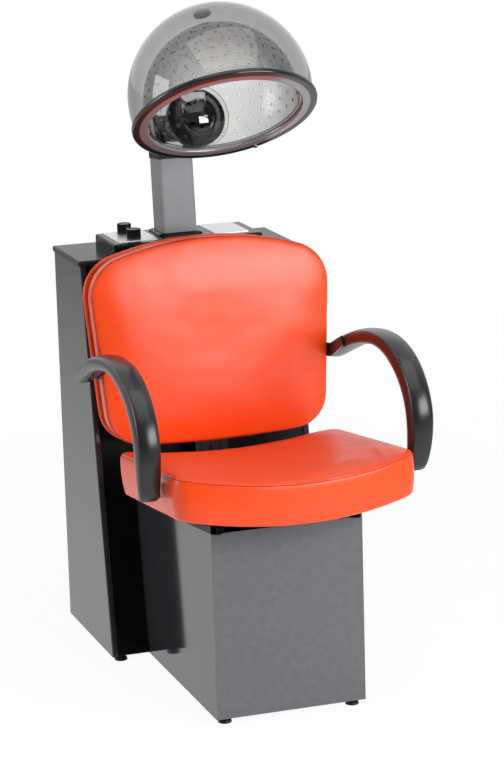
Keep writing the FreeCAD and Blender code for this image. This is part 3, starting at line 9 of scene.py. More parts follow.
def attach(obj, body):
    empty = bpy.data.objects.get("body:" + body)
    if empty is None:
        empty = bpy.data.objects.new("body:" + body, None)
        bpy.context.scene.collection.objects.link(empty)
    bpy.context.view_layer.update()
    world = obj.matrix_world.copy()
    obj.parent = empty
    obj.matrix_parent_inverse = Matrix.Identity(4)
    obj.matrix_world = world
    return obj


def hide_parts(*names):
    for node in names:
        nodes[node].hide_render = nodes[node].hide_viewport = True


print("dryer chair: loading the frame")
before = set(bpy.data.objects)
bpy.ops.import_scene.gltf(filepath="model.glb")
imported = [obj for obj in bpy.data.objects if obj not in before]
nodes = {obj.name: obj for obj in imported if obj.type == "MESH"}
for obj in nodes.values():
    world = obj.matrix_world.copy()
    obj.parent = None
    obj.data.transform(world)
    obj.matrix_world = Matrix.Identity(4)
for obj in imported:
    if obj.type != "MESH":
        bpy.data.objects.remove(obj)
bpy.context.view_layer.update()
scene = bpy.context.scene

# Places taken from the chair's layout, in metres and degrees. A place is an origin and its lean about X.
rearFace = 0.4874
places = {
    "seat": {"origin": (0, rearFace - 0.837, 0.418), "lean": 6.6},
    "back": {"origin": (0, rearFace - 0.405, 0.520), "lean": 5.5},
    "hood": {"origin": (0, rearFace - 0.505, 1.235), "lean": 33.8},
}


def placeMatrix(name):
    spot = places[name]
    return Matrix.Translation(spot["origin"]) @ Matrix.Rotation(-math.radians(spot["lean"]), 4, "X")


# Camera

cameraShot = {
    "place": (-1.8842, -5.737, 2.0663), "turn": -18.63, "down": 13.18, "roll": -1.64, "lens": 135.21,
    "sensor": 36, "reach": 60,
}


def aimCamera():
    turn, down, roll = [math.radians(cameraShot[key]) for key in ("turn", "down", "roll")]
    ahead = Vector((-math.sin(turn) * math.cos(down), math.cos(turn) * math.cos(down), -math.sin(down)))
    level = Vector((math.cos(turn), math.sin(turn), 0))
    rise = level.cross(ahead)
    right = level * math.cos(roll) + rise * math.sin(roll)
    up = rise * math.cos(roll) - level * math.sin(roll)
    lens = bpy.data.cameras.new("photoCamera")
    lens.sensor_width = cameraShot["sensor"]
    lens.lens = cameraShot["lens"]
    lens.clip_end = cameraShot["reach"]
    shot = bpy.data.objects.new("photoCamera", lens)
    scene.collection.objects.link(shot)
    turned = Matrix((right, up, -ahead)).transposed().to_4x4()
    shot.matrix_world = Matrix.Translation(cameraShot["place"]) @ turned
    scene.camera = shot


aimCamera()

# Node helpers

sheetGrid = {"left": -1400, "top": 300, "across": 190, "down": 260, "columns": 8}


class NodeSheet:

    def __init__(self, tree):
        self.tree = tree
        self.count = 0

    def add(self, kind, **settings):
        made = self.tree.nodes.new(kind)
        self.count += 1
        row, column = divmod(self.count, sheetGrid["columns"])
        made.location = (sheetGrid["left"] + sheetGrid["across"] * column, sheetGrid["top"] - sheetGrid["down"] * row)
        for key, value in settings.items():
            setattr(made, key, value)
        return made

    def join(self, source, target):
        self.tree.links.new(source, target)

    def feed(self, slot, value):
        if isinstance(value, bpy.types.NodeSocket):
            self.join(value, slot)
        else:
            slot.default_value = value

    def maths(self, operation, *values):
        made = self.add("ShaderNodeMath", operation=operation)
        for slot, value in zip(made.inputs, values):
            self.feed(slot, value)
        return made.outputs[0]

    def blend(self, share, first, second):
        made = self.add("ShaderNodeMix", data_type="RGBA")
        for index, value in ((0, share), (6, first), (7, second)):
            self.feed(made.inputs[index], value)
        return made.outputs[2]

    # A value taken from one span to another
    def span(self, value, given=(0.0, 1.0), wanted=(0.0, 1.0), **settings):
        made = self.add("ShaderNodeMapRange", **settings)
        for label, number in zip(("Value", "From Min", "From Max", "To Min", "To Max"), (value, *given, *wanted)):
            self.feed(made.inputs[label], number)
        return made.outputs[0]

    def cloud(self, where, scale, detail):
        made = self.add("ShaderNodeTexNoise")
        self.join(where, made.inputs["Vector"])
        self.feed(made.inputs["Scale"], scale)
        made.inputs["Detail"].default_value = detail
        return made


def newGroup(name, inputs, outputs):
    tree = bpy.data.node_groups.new(name, "ShaderNodeTree")
    for label, value in inputs.items():
        tree.interface.new_socket(name=label, in_out="INPUT", socket_type="NodeSocketFloat").default_value = value
    for label in outputs:
        tree.interface.new_socket(name=label, in_out="OUTPUT", socket_type="NodeSocketFloat")
    sheet = NodeSheet(tree)
    return sheet, sheet.add("NodeGroupInput"), sheet.add("NodeGroupOutput")


grainPlan = {
    "bend": 0.0006, "bendScale": 0.5, "bendDetail": 1.0, "smooth": 0.6, "fine": 0.35, "fineScale": 2.2,
    "fineDetail": 3.0, "cloudDetail": 4.0,
}


# Pebbled skin of vinyl or urethane: small cells with soft valleys between them
def grainGroup():
    sheet, given, result = newGroup("pebbleGrain", {"Cell Size": 0.0012, "Cloud Size": 0.05}, ("Height", "Cloud"))
    where = sheet.add("ShaderNodeTexCoord").outputs["Object"]
    cellScale = sheet.maths("DIVIDE", 1.0, given.outputs["Cell Size"])
    bendScale = sheet.maths("MULTIPLY", cellScale, grainPlan["bendScale"])
    bend = sheet.cloud(where, bendScale, grainPlan["bendDetail"])
    shift = sheet.add("ShaderNodeVectorMath", operation="MULTIPLY_ADD")
    sheet.join(bend.outputs["Color"], shift.inputs[0])
    shift.inputs[1].default_value = [grainPlan["bend"]] * 3
    sheet.join(where, shift.inputs[2])
    cells = sheet.add("ShaderNodeTexVoronoi", feature="SMOOTH_F1")
    cells.inputs["Smoothness"].default_value = grainPlan["smooth"]
    sheet.join(shift.outputs[0], cells.inputs["Vector"])
    sheet.join(cellScale, cells.inputs["Scale"])
    fineScale = sheet.maths("MULTIPLY", cellScale, grainPlan["fineScale"])
    fine = sheet.cloud(where, fineScale, grainPlan["fineDetail"])
    pebble = sheet.maths("SUBTRACT", 1.0, cells.outputs["Distance"])
    height = sheet.maths("MULTIPLY_ADD", fine.outputs[0], grainPlan["fine"], pebble)
    sheet.join(height, result.inputs["Height"])
    cloudScale = sheet.maths("DIVIDE", 1.0, given.outputs["Cloud Size"])
    cloud = sheet.cloud(where, cloudScale, grainPlan["cloudDetail"])
    sheet.join(cloud.outputs[0], result.inputs["Cloud"])
    return sheet.tree


coatPlan = {"peelDetail": 2.0, "patchDetail": 5.0, "patchSpan": (0.3, 0.7)}


# Fired powder coat: a faint orange peel and slow patches of gloss
def coatGroup():
    sheet, given, result = newGroup("powderSkin", {"Peel Size": 0.0016, "Patch Size": 0.12, "Low": 0.2, "High": 0.3},
                                    ("Height", "Roughness"))
    where = sheet.add("ShaderNodeTexCoord").outputs["Object"]
    peelScale = sheet.maths("DIVIDE", 1.0, given.outputs["Peel Size"])
    peel = sheet.cloud(where, peelScale, coatPlan["peelDetail"])
    sheet.join(peel.outputs[0], result.inputs["Height"])
    patchScale = sheet.maths("DIVIDE", 1.0, given.outputs["Patch Size"])
    patch = sheet.cloud(where, patchScale, coatPlan["patchDetail"])
    rough = sheet.span(patch.outputs[0], coatPlan["patchSpan"], (given.outputs["Low"], given.outputs["High"]))
    sheet.join(rough, result.inputs["Roughness"])
    return sheet.tree


rubPlan = {"edgeSpan": (0.53, 0.62), "speckDetail": 6.0}


# Mask of edges rubbed by use, broken up by noise
def rubGroup():
    sheet, given, result = newGroup("edgeRub", {"Amount": 0.5, "Break Up": 60.0}, ("Mask",))
    edge = sheet.add("ShaderNodeNewGeometry").outputs["Pointiness"]
    sharp = sheet.span(edge, rubPlan["edgeSpan"])
    where = sheet.add("ShaderNodeTexCoord").outputs["Object"]
    speck = sheet.cloud(where, given.outputs["Break Up"], rubPlan["speckDetail"])
    mask = sheet.add("ShaderNodeMath", operation="MULTIPLY", use_clamp=True)
    sheet.join(sheet.maths("MULTIPLY", sharp, speck.outputs[0]), mask.inputs[0])
    sheet.join(given.outputs["Amount"], mask.inputs[1])
    sheet.join(mask.outputs[0], result.inputs["Mask"])
    return sheet.tree


brushPlan = {"stretch": (0.02, 1.0, 1.0), "detail": 3.0}


# Fine lines drawn along X, for brushed or rolled metal
def brushGroup():
    sheet, given, result = newGroup("brushLines", {"Line Size": 0.0006, "Low": 0.25, "High": 0.4},
                                    ("Height", "Roughness"))
    stretch = sheet.add("ShaderNodeMapping")
    sheet.join(sheet.add("ShaderNodeTexCoord").outputs["Object"], stretch.inputs["Vector"])
    stretch.inputs["Scale"].default_value = brushPlan["stretch"]
    lineScale = sheet.maths("DIVIDE", 1.0, given.outputs["Line Size"])
    lines = sheet.cloud(stretch.outputs[0], lineScale, brushPlan["detail"])
    sheet.join(lines.outputs[0], result.inputs["Height"])
    rough = sheet.span(lines.outputs[0], wanted=(given.outputs["Low"], given.outputs["High"]))
    sheet.join(rough, result.inputs["Roughness"])
    return sheet.tree


groups = {"grain": grainGroup(), "coat": coatGroup(), "rub": rubGroup(), "brush": brushGroup()}
plainTone = (0.5, 0.5, 0.5, 1)


# A Principled material with its plain values on its own sockets
def startMaterial(name, settings):
    made = bpy.data.materials.new(name)
    made.use_nodes = True
    shader = made.node_tree.nodes["Principled BSDF"]
    for key, value in settings.items():
        shader.inputs[key].default_value = value
    made.diffuse_color = plainTone
    return made, NodeSheet(made.node_tree), shader


def placeGroup(sheet, key, **values):
    made = sheet.add("ShaderNodeGroup", node_tree=groups[key])
    for label, value in values.items():
        made.inputs[label.replace("_", " ")].default_value = value
    return made


def addBump(sheet, shader, height, depth):
    bump = sheet.add("ShaderNodeBump")
    bump.inputs["Strength"].default_value = 1.0
    bump.inputs["Distance"].default_value = depth
    sheet.join(height, bump.inputs["Height"])
    sheet.join(bump.outputs[0], shader.inputs["Normal"])


# Vinyl, urethane and rubber: pebbled, with slow changes of shade and gloss
def skinMaterial(name, colour, second, shine, rough, cell, depth, cloud=0.08):
    made, sheet, shader = startMaterial(name, shine)
    grain = placeGroup(sheet, "grain", Cell_Size=cell, Cloud_Size=cloud)
    sheet.join(sheet.blend(grain.outputs["Cloud"], colour, second), shader.inputs["Base Color"])
    sheet.join(sheet.span(grain.outputs["Cloud"], wanted=rough), shader.inputs["Roughness"])
    addBump(sheet, shader, grain.outputs["Height"], depth)
    return made


# Powder coated steel or moulded plastic with lightly rubbed edges
def coatedMaterial(name, colour, worn, shine, rough, rub=0.3, peel=0.00004, peelSize=0.0016):
    made, sheet, shader = startMaterial(name, shine)
    coat = placeGroup(sheet, "coat", Peel_Size=peelSize, Low=rough[0], High=rough[1])
    edge = placeGroup(sheet, "rub", Amount=rub)
    sheet.join(sheet.blend(edge.outputs["Mask"], colour, worn), shader.inputs["Base Color"])
    sheet.join(coat.outputs["Roughness"], shader.inputs["Roughness"])
    addBump(sheet, shader, coat.outputs["Height"], peel)
    return made


def metalMaterial(name, colour, second, shine, rough, line=0.0006, depth=0.00002):
    made, sheet, shader = startMaterial(name, shine)
    brush = placeGroup(sheet, "brush", Line_Size=line, Low=rough[0], High=rough[1])
    sheet.join(sheet.blend(brush.outputs["Height"], colour, second), shader.inputs["Base Color"])
    sheet.join(brush.outputs["Roughness"], shader.inputs["Roughness"])
    addBump(sheet, shader, brush.outputs["Height"], depth)
    return made


clearPlan = {"facing": 0.5, "peelSize": 0.02, "patchSize": 0.05}


# Clear or smoked plastic: deeper in tone where it is seen edge on, with faint wipe marks in its gloss
def clearMaterial(name, colour, edge, shine, rough):
    made, sheet, shader = startMaterial(name, {"Transmission Weight": 1.0, **shine})
    facing = sheet.add("ShaderNodeLayerWeight")
    facing.inputs["Blend"].default_value = clearPlan["facing"]
    sheet.join(sheet.blend(facing.outputs["Facing"], colour, edge), shader.inputs["Base Color"])
    coat = placeGroup(sheet, "coat", Peel_Size=clearPlan["peelSize"], Patch_Size=clearPlan["patchSize"],
                      Low=rough[0], High=rough[1])
    sheet.join(coat.outputs["Roughness"], shader.inputs["Roughness"])
    return made


def gloss(ior, level=0.5, **more):
    return {"IOR": ior, "Specular IOR Level": level, **more}


# Each finish: its two colours, its shine, its span of roughness, and what its maker needs besides
finishPlans = {
    coatedMaterial: {
        # The pedestal front's coat and the side panels' coat are one panel paint in two copies: the front's lighter
        # base is painted light, the sides' darker base is painted shade.
        "boxCoat": ((0.105, 0.105, 0.113), (0.30, 0.30, 0.31), gloss(1.45, 0.4), (0.16, 0.17),
                    {"rub": 0.25, "peel": 0.000002}),
        "sideCoat": ((0.020, 0.020, 0.023), (0.14, 0.14, 0.15), gloss(1.43), (0.08, 0.085),
                     {"rub": 0.25, "peel": 0.000002}),
        "capCoat": ((0.018, 0.018, 0.020), (0.12, 0.12, 0.13), gloss(1.34, 0.2), (0.2, 0.24), {}),
        "darkCoat": ((0.0025, 0.0025, 0.003), (0.03, 0.03, 0.03), gloss(1.4, 0.12), (0.25, 0.32), {"rub": 0.1}),
        "postCoat": ((0.24, 0.24, 0.253), (0.40, 0.40, 0.42), gloss(1.32, 0.3), (0.24, 0.28), {"peel": 0.00001}),
        "blackMould": ((0.004, 0.004, 0.0045), (0.05, 0.05, 0.055), gloss(1.40, 0.14), (0.07, 0.10),
                       {"peel": 0.000004, "peelSize": 0.0009}),
        "switchMould": ((0.62, 0.60, 0.54), (0.75, 0.73, 0.68), gloss(1.5), (0.4, 0.5), {}),
        "glossBlack": ((0.012, 0.012, 0.013), (0.05, 0.05, 0.05), gloss(1.52), (0.14, 0.18),
                       {"rub": 0.1, "peel": 0.00001}),
        "ballBlack": ((0.001, 0.001, 0.001), (0.01, 0.01, 0.01), gloss(2.0), (0.04, 0.05),
                      {"rub": 0.0, "peel": 0.000001}),
        "bracketCoat": ((0.030, 0.028, 0.028), (0.2, 0.2, 0.2), gloss(1.5), (0.2, 0.26), {}),
        "ringSilver": ((0.27, 0.27, 0.28), (0.40, 0.40, 0.41), gloss(1.5, Metallic=0.5), (0.13, 0.17),
                       {"rub": 0.2, "peel": 0.000006}),
        "drilledEdge": ((0.16, 0.16, 0.16), (0.60, 0.60, 0.60), gloss(1.5), (0.1, 0.14), {}),
        "dialPrint": ((0.02, 0.02, 0.022), (0.05, 0.05, 0.05), gloss(1.45), (0.4, 0.55), {"rub": 0.0}),
    },
    metalMaterial: {
        "zincSheet": ((0.50, 0.51, 0.53), (0.68, 0.69, 0.71), {"Metallic": 1.0}, (0.32, 0.5), {"line": 0.004}),
        "brightBolt": ((0.70, 0.71, 0.73), (0.85, 0.86, 0.88), {"Metallic": 1.0}, (0.16, 0.28), {}),
        "brushedPlate": ((0.66, 0.67, 0.69), (0.76, 0.77, 0.79), {"Metallic": 1.0}, (0.3, 0.45), {}),
        "ductFoil": ((0.66, 0.67, 0.68), (0.8, 0.8, 0.81), {"Metallic": 1.0}, (0.25, 0.5),
                     {"line": 0.003, "depth": 0.0001}),
    },
    clearMaterial: {
        "smokedShell": ((0.80, 0.805, 0.80), (0.20, 0.202, 0.198), {"IOR": 1.40}, (0.01, 0.03), {}),
        "clearShell": ((0.93, 0.93, 0.92), (0.20, 0.20, 0.197), {"IOR": 1.33}, (0.01, 0.03), {}),
    },
    skinMaterial: {
        "orangeVinyl": ((0.88, 0.060, 0.001), (0.91, 0.067, 0.002), gloss(1.5, 0.55), (0.32, 0.36),
                        {"cell": 0.0011, "depth": 0.00004}),
        # seamShade is the colour of the painted seam shadow, a dark red-brown standing in for the shade in the seam
        # valleys.
        "seamShade": ((0.10, 0.010, 0.004), (0.14, 0.014, 0.005), gloss(1.45, 0.2), (0.6, 0.75),
                      {"cell": 0.0004, "depth": 0.00002, "cloud": 0.01}),
        "seamThread": ((0.62, 0.030, 0.004), (0.50, 0.022, 0.004), gloss(1.45), (0.6, 0.75),
                       {"cell": 0.0004, "depth": 0.00004, "cloud": 0.004}),
        "blackBoard": ((0.006, 0.006, 0.006), (0.012, 0.011, 0.010), gloss(1.45, 0.2), (0.6, 0.8),
                       {"cell": 0.0015, "depth": 0.0001, "cloud": 0.03}),
        "armUrethane": ((0.009, 0.009, 0.0095), (0.012, 0.012, 0.0125), gloss(1.5, 0.55), (0.26, 0.30),
                        {"cell": 0.0006, "depth": 0.00002, "cloud": 0.12}),
        "footRubber": ((0.006, 0.006, 0.006), (0.012, 0.012, 0.012), gloss(1.5, 0.3), (0.4, 0.5),
                       {"cell": 0.0008, "depth": 0.00005, "cloud": 0.02}),
    },
}
finishes = {
    name: maker(name, (*colour, 1), (*second, 1), shine, rough, **more)
    for maker, plans in finishPlans.items()
    for name, (colour, second, shine, rough, more) in plans.items()
}

dressed = {
    # The pedestal's front takes the lit copy of the panel paint and the side panels take the shaded copy, as painted
    # light and shade.
    "boxCoat": ["pedestal_front_panel"],
    "sideCoat": ["cabinet_left_panel", "cabinet_right_panel", "pedestal_left_panel", "pedestal_right_panel"],
    "capCoat": ["cabinet_cap"],
    "darkCoat": ["cabinet_front_panel", "cabinet_back_panel", "cabinet_floor_plate", "blower_motor",
                 "pedestal_floor_plate", "seat_rails", "post_head"],
    "postCoat": ["hood_post"],
    "blackMould": ["control_housing", "post_collar", "power_inlet", "hood_neck", "timer_knob", "heat_knob"],
    "brushedPlate": ["control_plate", "label_plate"],
    "zincSheet": ["post_guide", "blower_shelf", "blower_housing", "heater_box", "foot_nuts", "blower_wheel"],
    "bracketCoat": ["back_bracket", "arm_rear_brackets"],
    "brightBolt": ["heater_rods", "seat_bolts", "arm_front_brackets", "hinge_pin", "ring_clips"],
    "ductFoil": ["air_duct"],
    "switchMould": ["timer_switch", "heat_switch"],
    "glossBlack": ["hood_ring"],
    "ballBlack": ["air_diffuser"],
    "smokedShell": ["hood_dome"],
    "clearShell": ["inner_bowl", "port_flange"],
    "orangeVinyl": ["seat_cushion", "back_cushion", "back_shell"],
    "blackBoard": ["seat_board", "back_board"],
    "armUrethane": ["left_arm", "right_arm"],
    "footRubber": ["top_grommet"] + [name for name in nodes if "_foot_" in name],
}


def dressNodes():
    for finish, names in dressed.items():
        for name in names:
            piece = nodes[name]
            if not piece.material_slots:
                piece.data.materials.append(None)
            for slot in piece.material_slots:
                slot.material = finishes[finish]
    bare = sorted(set(nodes) - {name for names in dressed.values() for name in names})
    print("dryer chair: every node is dressed" if not bare else "undressed nodes: %s" % bare)


dressNodes()

# Mesh helpers

sharpAngle = math.radians(38)


def addPiece(name, mesh, finish, body, smooth=True):
    piece = bpy.data.objects.new(name, mesh)
    scene.collection.objects.link(piece)
    mesh.materials.clear()
    mesh.materials.append(finishes[finish])
    for face in mesh.polygons:
        face.use_smooth = smooth
    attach(piece, body)
    return piece


def smoothFaces(piece):
    for face in piece.data.polygons:
        face.use_smooth = True


def applyModifiers(piece):
    shaped = bpy.data.meshes.new_from_object(piece.evaluated_get(bpy.context.evaluated_depsgraph_get()))
    old = piece.data
    piece.modifiers.clear()
    piece.data = shaped
    if old.users == 0:
        bpy.data.meshes.remove(old)


def remeshPiece(piece, voxel):
    remesh = piece.modifiers.new("voxels", "REMESH")
    remesh.mode = "VOXEL"
    remesh.voxel_size = voxel
    applyModifiers(piece)


def easePiece(piece, times):
    ease = piece.modifiers.new("ease", "SMOOTH")
    ease.factor, ease.iterations = 0.5, times
    applyModifiers(piece)


# The mesh of a closed form, with its faces turned outward
def closeMesh(made, name):
    bmesh.ops.recalc_face_normals(made, faces=made.faces)
    mesh = bpy.data.meshes.new(name)
    made.to_mesh(mesh)
    made.free()
    return mesh


def circle(count):
    turns = [2 * math.pi * index / count for index in range(count)]
    return [(math.cos(turn), math.sin(turn)) for turn in turns]


# Faces between two rings of corners, or between a ring and a single corner
def bridgeRings(made, first, second):
    count = max(len(first), len(second))
    for index in range(count):
        after = (index + 1) % count
        corners = (first[index % len(first)], first[after % len(first)],
                   second[after % len(second)], second[index % len(second)])
        made.faces.new(list(dict.fromkeys(corners)))


def smoothStep(low, high, value):
    share = min(max((value - low) / (high - low), 0.0), 1.0)
    return share * share * (3 - 2 * share)


# Cushions

padPlans = {
    "seat": {
        "node": "seat_cushion", "place": "seat", "up": 2, "middle": (0, 0.12, 0), "seam": 0.108, "bend": 1.230,
        "voxel": 0.005, "shrink": 0.002, "cap": 0.006, "pressure": 4.5, "fill": 0.75, "heldBelow": 0.026,
        "wave": 0.0006, "ease": 14,
    },
    "back": {
        "node": "back_cushion", "place": "back", "up": 1, "middle": (0, 0, 0.2), "seam": 0.0008, "bend": 0,
        "voxel": 0.005, "shrink": 0.003, "cap": 0.006, "pressure": 4.0, "fill": 0.7, "heldAbove": 0.050,
        "wave": 0.0005, "ease": 9,
    },
    "rear": {
        "node": "back_shell", "place": "back", "up": 1, "middle": (0, 0, 0.2), "seam": 0.077, "bend": 0,
        "voxel": 0.0045, "shrink": 0.0015, "cap": 0.003, "pressure": 2.0, "fill": 0.9, "heldBelow": 0.070,
        "wave": 0.0004, "ease": 6,
    },
}


# How far a pad's faces rise above its middle where it is bent up towards the sides
def bendLift(plan, x):
    return plan["bend"] - math.sqrt(plan["bend"] ** 2 - x * x) if plan["bend"] else 0.0


def isHeld(plan, local):
    level = local[plan["up"]] - bendLift(plan, local.x)
    return level < plan.get("heldBelow", -1) or level > plan.get("heldAbove", 1)


lookPlan = {"count": 360, "first": 0.25, "from": 0.6, "tries": 5}


# The closed line of a pad's seam, found by looking in at its solid from all round
def seamPath(plan):
    outward = placeMatrix(plan["place"])
    inward = outward.inverted()
    mesh = nodes[plan["node"]].data
    solid = BVHTree.FromPolygons([inward @ vertex.co for vertex in mesh.vertices],
                                 [tuple(face.vertices) for face in mesh.polygons])
    axis = plan["up"]
    flat = [side for side in (0, 1, 2) if side != axis]
    middle = Vector(plan["middle"])
    path = []
    for across, along in circle(lookPlan["count"]):
        ahead = Vector((0, 0, 0))
        ahead[flat[0]], ahead[flat[1]] = across, along
        spot = middle + ahead * lookPlan["first"]
        for again in range(lookPlan["tries"]):
            start = middle + ahead * lookPlan["from"]
            start[axis] = plan["seam"] + bendLift(plan, spot.x)
            spot = solid.ray_cast(start, -ahead)[0]
        path.append(outward @ spot)
    return path


# The same closed line with points at one even gap
def evenPath(path, gap):
    lengths = [(path[(i + 1) % len(path)] - path[i]).length for i in range(len(path))]
    count = max(int(sum(lengths) / gap), 8)
    step = sum(lengths) / count
    even, index, gone = [], 0, 0.0
    for number in range(count):
        wanted = number * step
        while gone + lengths[index] < wanted:
            gone += lengths[index]
            index += 1
        share = (wanted - gone) / max(lengths[index], 1e-9)
        even.append(path[index].lerp(path[(index + 1) % len(path)], share))
    return even


# A tree of tiny triangles, which tells how far a point is from a line
def lineTree(path):
    shifts = (Vector((0, 0, 0)), Vector((1e-4, 0, 0)), Vector((0, 1e-4, 1e-4)))
    return BVHTree.FromPolygons([point + shift for point in path for shift in shifts],
                                [(3 * i, 3 * i + 1, 3 * i + 2) for i in range(len(path))])


clothPlan = {"quality": 5, "mass": 0.3, "tension": 18, "bending": 3.0, "frames": 20}


# Blows a cover up for a few frames and keeps each of its points near where it began
def blowUp(piece, plan, start):
    blown = piece.modifiers.new("fill", "CLOTH")
    cloth = blown.settings
    cloth.quality = clothPlan["quality"]
    cloth.mass = clothPlan["mass"]
    cloth.tension_stiffness = cloth.compression_stiffness = clothPlan["tension"]
    cloth.bending_stiffness = clothPlan["bending"]
    cloth.use_pressure = True
    cloth.uniform_pressure_force = plan["pressure"]
    cloth.effector_weights.gravity = 0
    cloth.vertex_group_mass = "held"
    blown.point_cache.frame_start, blown.point_cache.frame_end = 1, clothPlan["frames"]
    for frameNumber in range(1, clothPlan["frames"] + 1):
        scene.frame_set(frameNumber)
    applyModifiers(piece)
    scene.frame_set(1)
    for vertex, home in zip(piece.data.vertices, start):
        step = vertex.co - home
        if step.length > plan["cap"]:
            vertex.co = home + step * (plan["cap"] / step.length)


coverPlan = {
    "gap": 0.003, "held": (0.003, 0.014), "heldShrink": 0.6, "waves": 22, "valley": 0.0016,
    "valleySpan": (0.0008, 0.0042),
}


# Slow waves where the cover is free
def waveCover(piece, plan, inward):
    normals = [vertex.normal.copy() for vertex in piece.data.vertices]
    for vertex, normal in zip(piece.data.vertices, normals):
        if not isHeld(plan, inward @ vertex.co):
            vertex.co += normal * plan["wave"] * noise.noise(vertex.co * coverPlan["waves"])


# A narrow valley where the cover is sewn
def pressSeams(piece, seamTree):
    normals = [vertex.normal.copy() for vertex in piece.data.vertices]
    for vertex, normal in zip(piece.data.vertices, normals):
        near = seamTree.find_nearest(vertex.co)[3]
        vertex.co -= normal * coverPlan["valley"] * (1 - smoothStep(*coverPlan["valleySpan"], near))


# A padded piece grown from its solid: remeshed, drawn in, blown up by cloth pressure and smoothed
def makePad(name, plan, body="chair"):
    inward = placeMatrix(plan["place"]).inverted()
    piece = addPiece(name, nodes[plan["node"]].data.copy(), "orangeVinyl", body)
    remeshPiece(piece, plan["voxel"])
    mesh = piece.data
    seam = evenPath(seamPath(plan), coverPlan["gap"])
    seamTree = lineTree(seam)
    weights, start = [], []
    for vertex in mesh.vertices:
        near = seamTree.find_nearest(vertex.co)[3]
        start.append(vertex.co.copy())
        held = isHeld(plan, inward @ vertex.co)
        weights.append(1.0 if held else 1.0 - smoothStep(*coverPlan["held"], near))
    normals = [vertex.normal.copy() for vertex in mesh.vertices]
    group = piece.vertex_groups.new(name="held")
    for index, weight in enumerate(weights):
        group.add([index], weight, "REPLACE")
        mesh.vertices[index].co -= normals[index] * plan["shrink"] * (1 - coverPlan["heldShrink"] * weight)
    blowUp(piece, plan, start)
    easePiece(piece, plan["ease"])
    waveCover(piece, plan, inward)
    finer = piece.modifiers.new("finer", "SUBSURF")
    finer.levels = finer.render_levels = 1
    applyModifiers(piece)
    pressSeams(piece, seamTree)
    smoothFaces(piece)
    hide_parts(plan["node"])
    skin = BVHTree.FromObject(piece, bpy.context.evaluated_depsgraph_get())
    return seam, skin


stitchPlan = {
    "length": 0.0036, "gap": 0.0012, "radius": 0.0005, "flat": 0.8, "aside": 0.0042, "rise": 0.00015, "corners": 6,
    "ends": ((-0.5, 0.35), (-0.3, 1.0), (0.3, 1.0), (0.5, 0.35)),
}


# Rows of short thread beside a seam, laid on the sewn cover
def addStitches(name, seam, skin, sides, body="chair"):
    made = bmesh.new()
    path = evenPath(seam, stitchPlan["length"] + stitchPlan["gap"])
    for index, point in enumerate(path):
        along = (path[(index + 1) % len(path)] - path[index - 1]).normalized()
        spot, normal = skin.find_nearest(point)[:2]
        aside = along.cross(normal).normalized()
        for side in sides:
            middle, up = skin.find_nearest(spot + aside * side * stitchPlan["aside"])[:2]
            middle = middle + up * stitchPlan["rise"]
            across = along.cross(up).normalized()
            rings = []
            for share, swell in stitchPlan["ends"]:
                centre, radius = middle + along * share * stitchPlan["length"], stitchPlan["radius"] * swell
                rings.append([made.verts.new(centre + (across * x + up * y * stitchPlan["flat"]) * radius)
                              for x, y in circle(stitchPlan["corners"])])
            for first, second in zip(rings, rings[1:]):
                bridgeRings(made, first, second)
            made.faces.new(list(reversed(rings[0])))
            made.faces.new(rings[-1])
    return addPiece(name, closeMesh(made, name), "seamThread", body)


seamPlan = {"gap": 0.004, "radius": 0.0009, "sink": 0.0003, "corners": 6}


# Painted seam shadow: a dark cord laid as one closed line in the valley of a seam, standing in for the shade there
def addSeamShadowCord(name, seam, skin, body="chair"):
    path = evenPath(seam, seamPlan["gap"])
    made = bmesh.new()
    rings = []
    for index, point in enumerate(path):
        along = (path[(index + 1) % len(path)] - path[index - 1]).normalized()
        spot, up = skin.find_nearest(point)[:2]
        across = along.cross(up).normalized()
        middle = spot - up * seamPlan["sink"]
        rings.append([made.verts.new(middle + (across * x + up * y) * seamPlan["radius"])
                      for x, y in circle(seamPlan["corners"])])
    for first, second in zip(rings, rings[1:] + rings[:1]):
        bridgeRings(made, first, second)
    return addPiece(name, closeMesh(made, name), "seamShade", body)


print("dryer chair: filling the cushions")
sewn = {name: makePad(name + "Pad", plan) for name, plan in padPlans.items()}
print("dryer chair: stitching the seams")
for name, sides in (("seat", (-1, 1)), ("back", (-1, 1)), ("rear", (1,))):
    addStitches(name + "Stitches", *sewn[name], sides)
for name in sewn:
    addSeamShadowCord(name + "SeamLine", *sewn[name])

# Arms

armPlan = {
    "line": ((0.023, 0.670), (0.166, 0.797), (0.353, 0.900), (0.529, 0.940), (0.674, 0.909), (0.797, 0.815),
             (0.887, 0.674), (0.941, 0.481), (0.948, 0.307), (0.936, 0.143), (0.898, 0.008)),
    "back": 0.385, "length": 0.482, "foot": 0.503, "rise": 0.259, "middle": 0.2985, "half": 0.0265,
    "voxel": 0.0022, "ease": 3, "stretch": 0.060, "longer": (0, 0.036, -0.011), "crease": (0.780, 0.716),
    "tongue": 0.017, "depth": 0.0034, "run": (-0.085, -0.004), "lip": (-0.0025, 0.001), "edge": (0.72, 0.98),
    "facing": (0.2, 0.6),
}
armLine = [(rearFace - armPlan["back"] - armPlan["length"] * a, armPlan["foot"] + armPlan["rise"] * b)
           for a, b in armPlan["line"]]


# How far along the arm's midline a point lies, and the way out of the curve there
def armStation(y, z):
    best, gone = None, 0.0
    for (y0, z0), (y1, z1) in zip(armLine, armLine[1:]):
        dy, dz = y1 - y0, z1 - z0
        length = math.hypot(dy, dz)
        share = min(max(((y - y0) * dy + (z - z0) * dz) / length ** 2, 0.0), 1.0)
        away = math.hypot(y - y0 - dy * share, z - z0 - dz * share)
        if best is None or away < best[0]:
            best = (away, gone + share * length, Vector((0, dz / length, -dy / length)))
        gone += length
    return best[1], best[2]


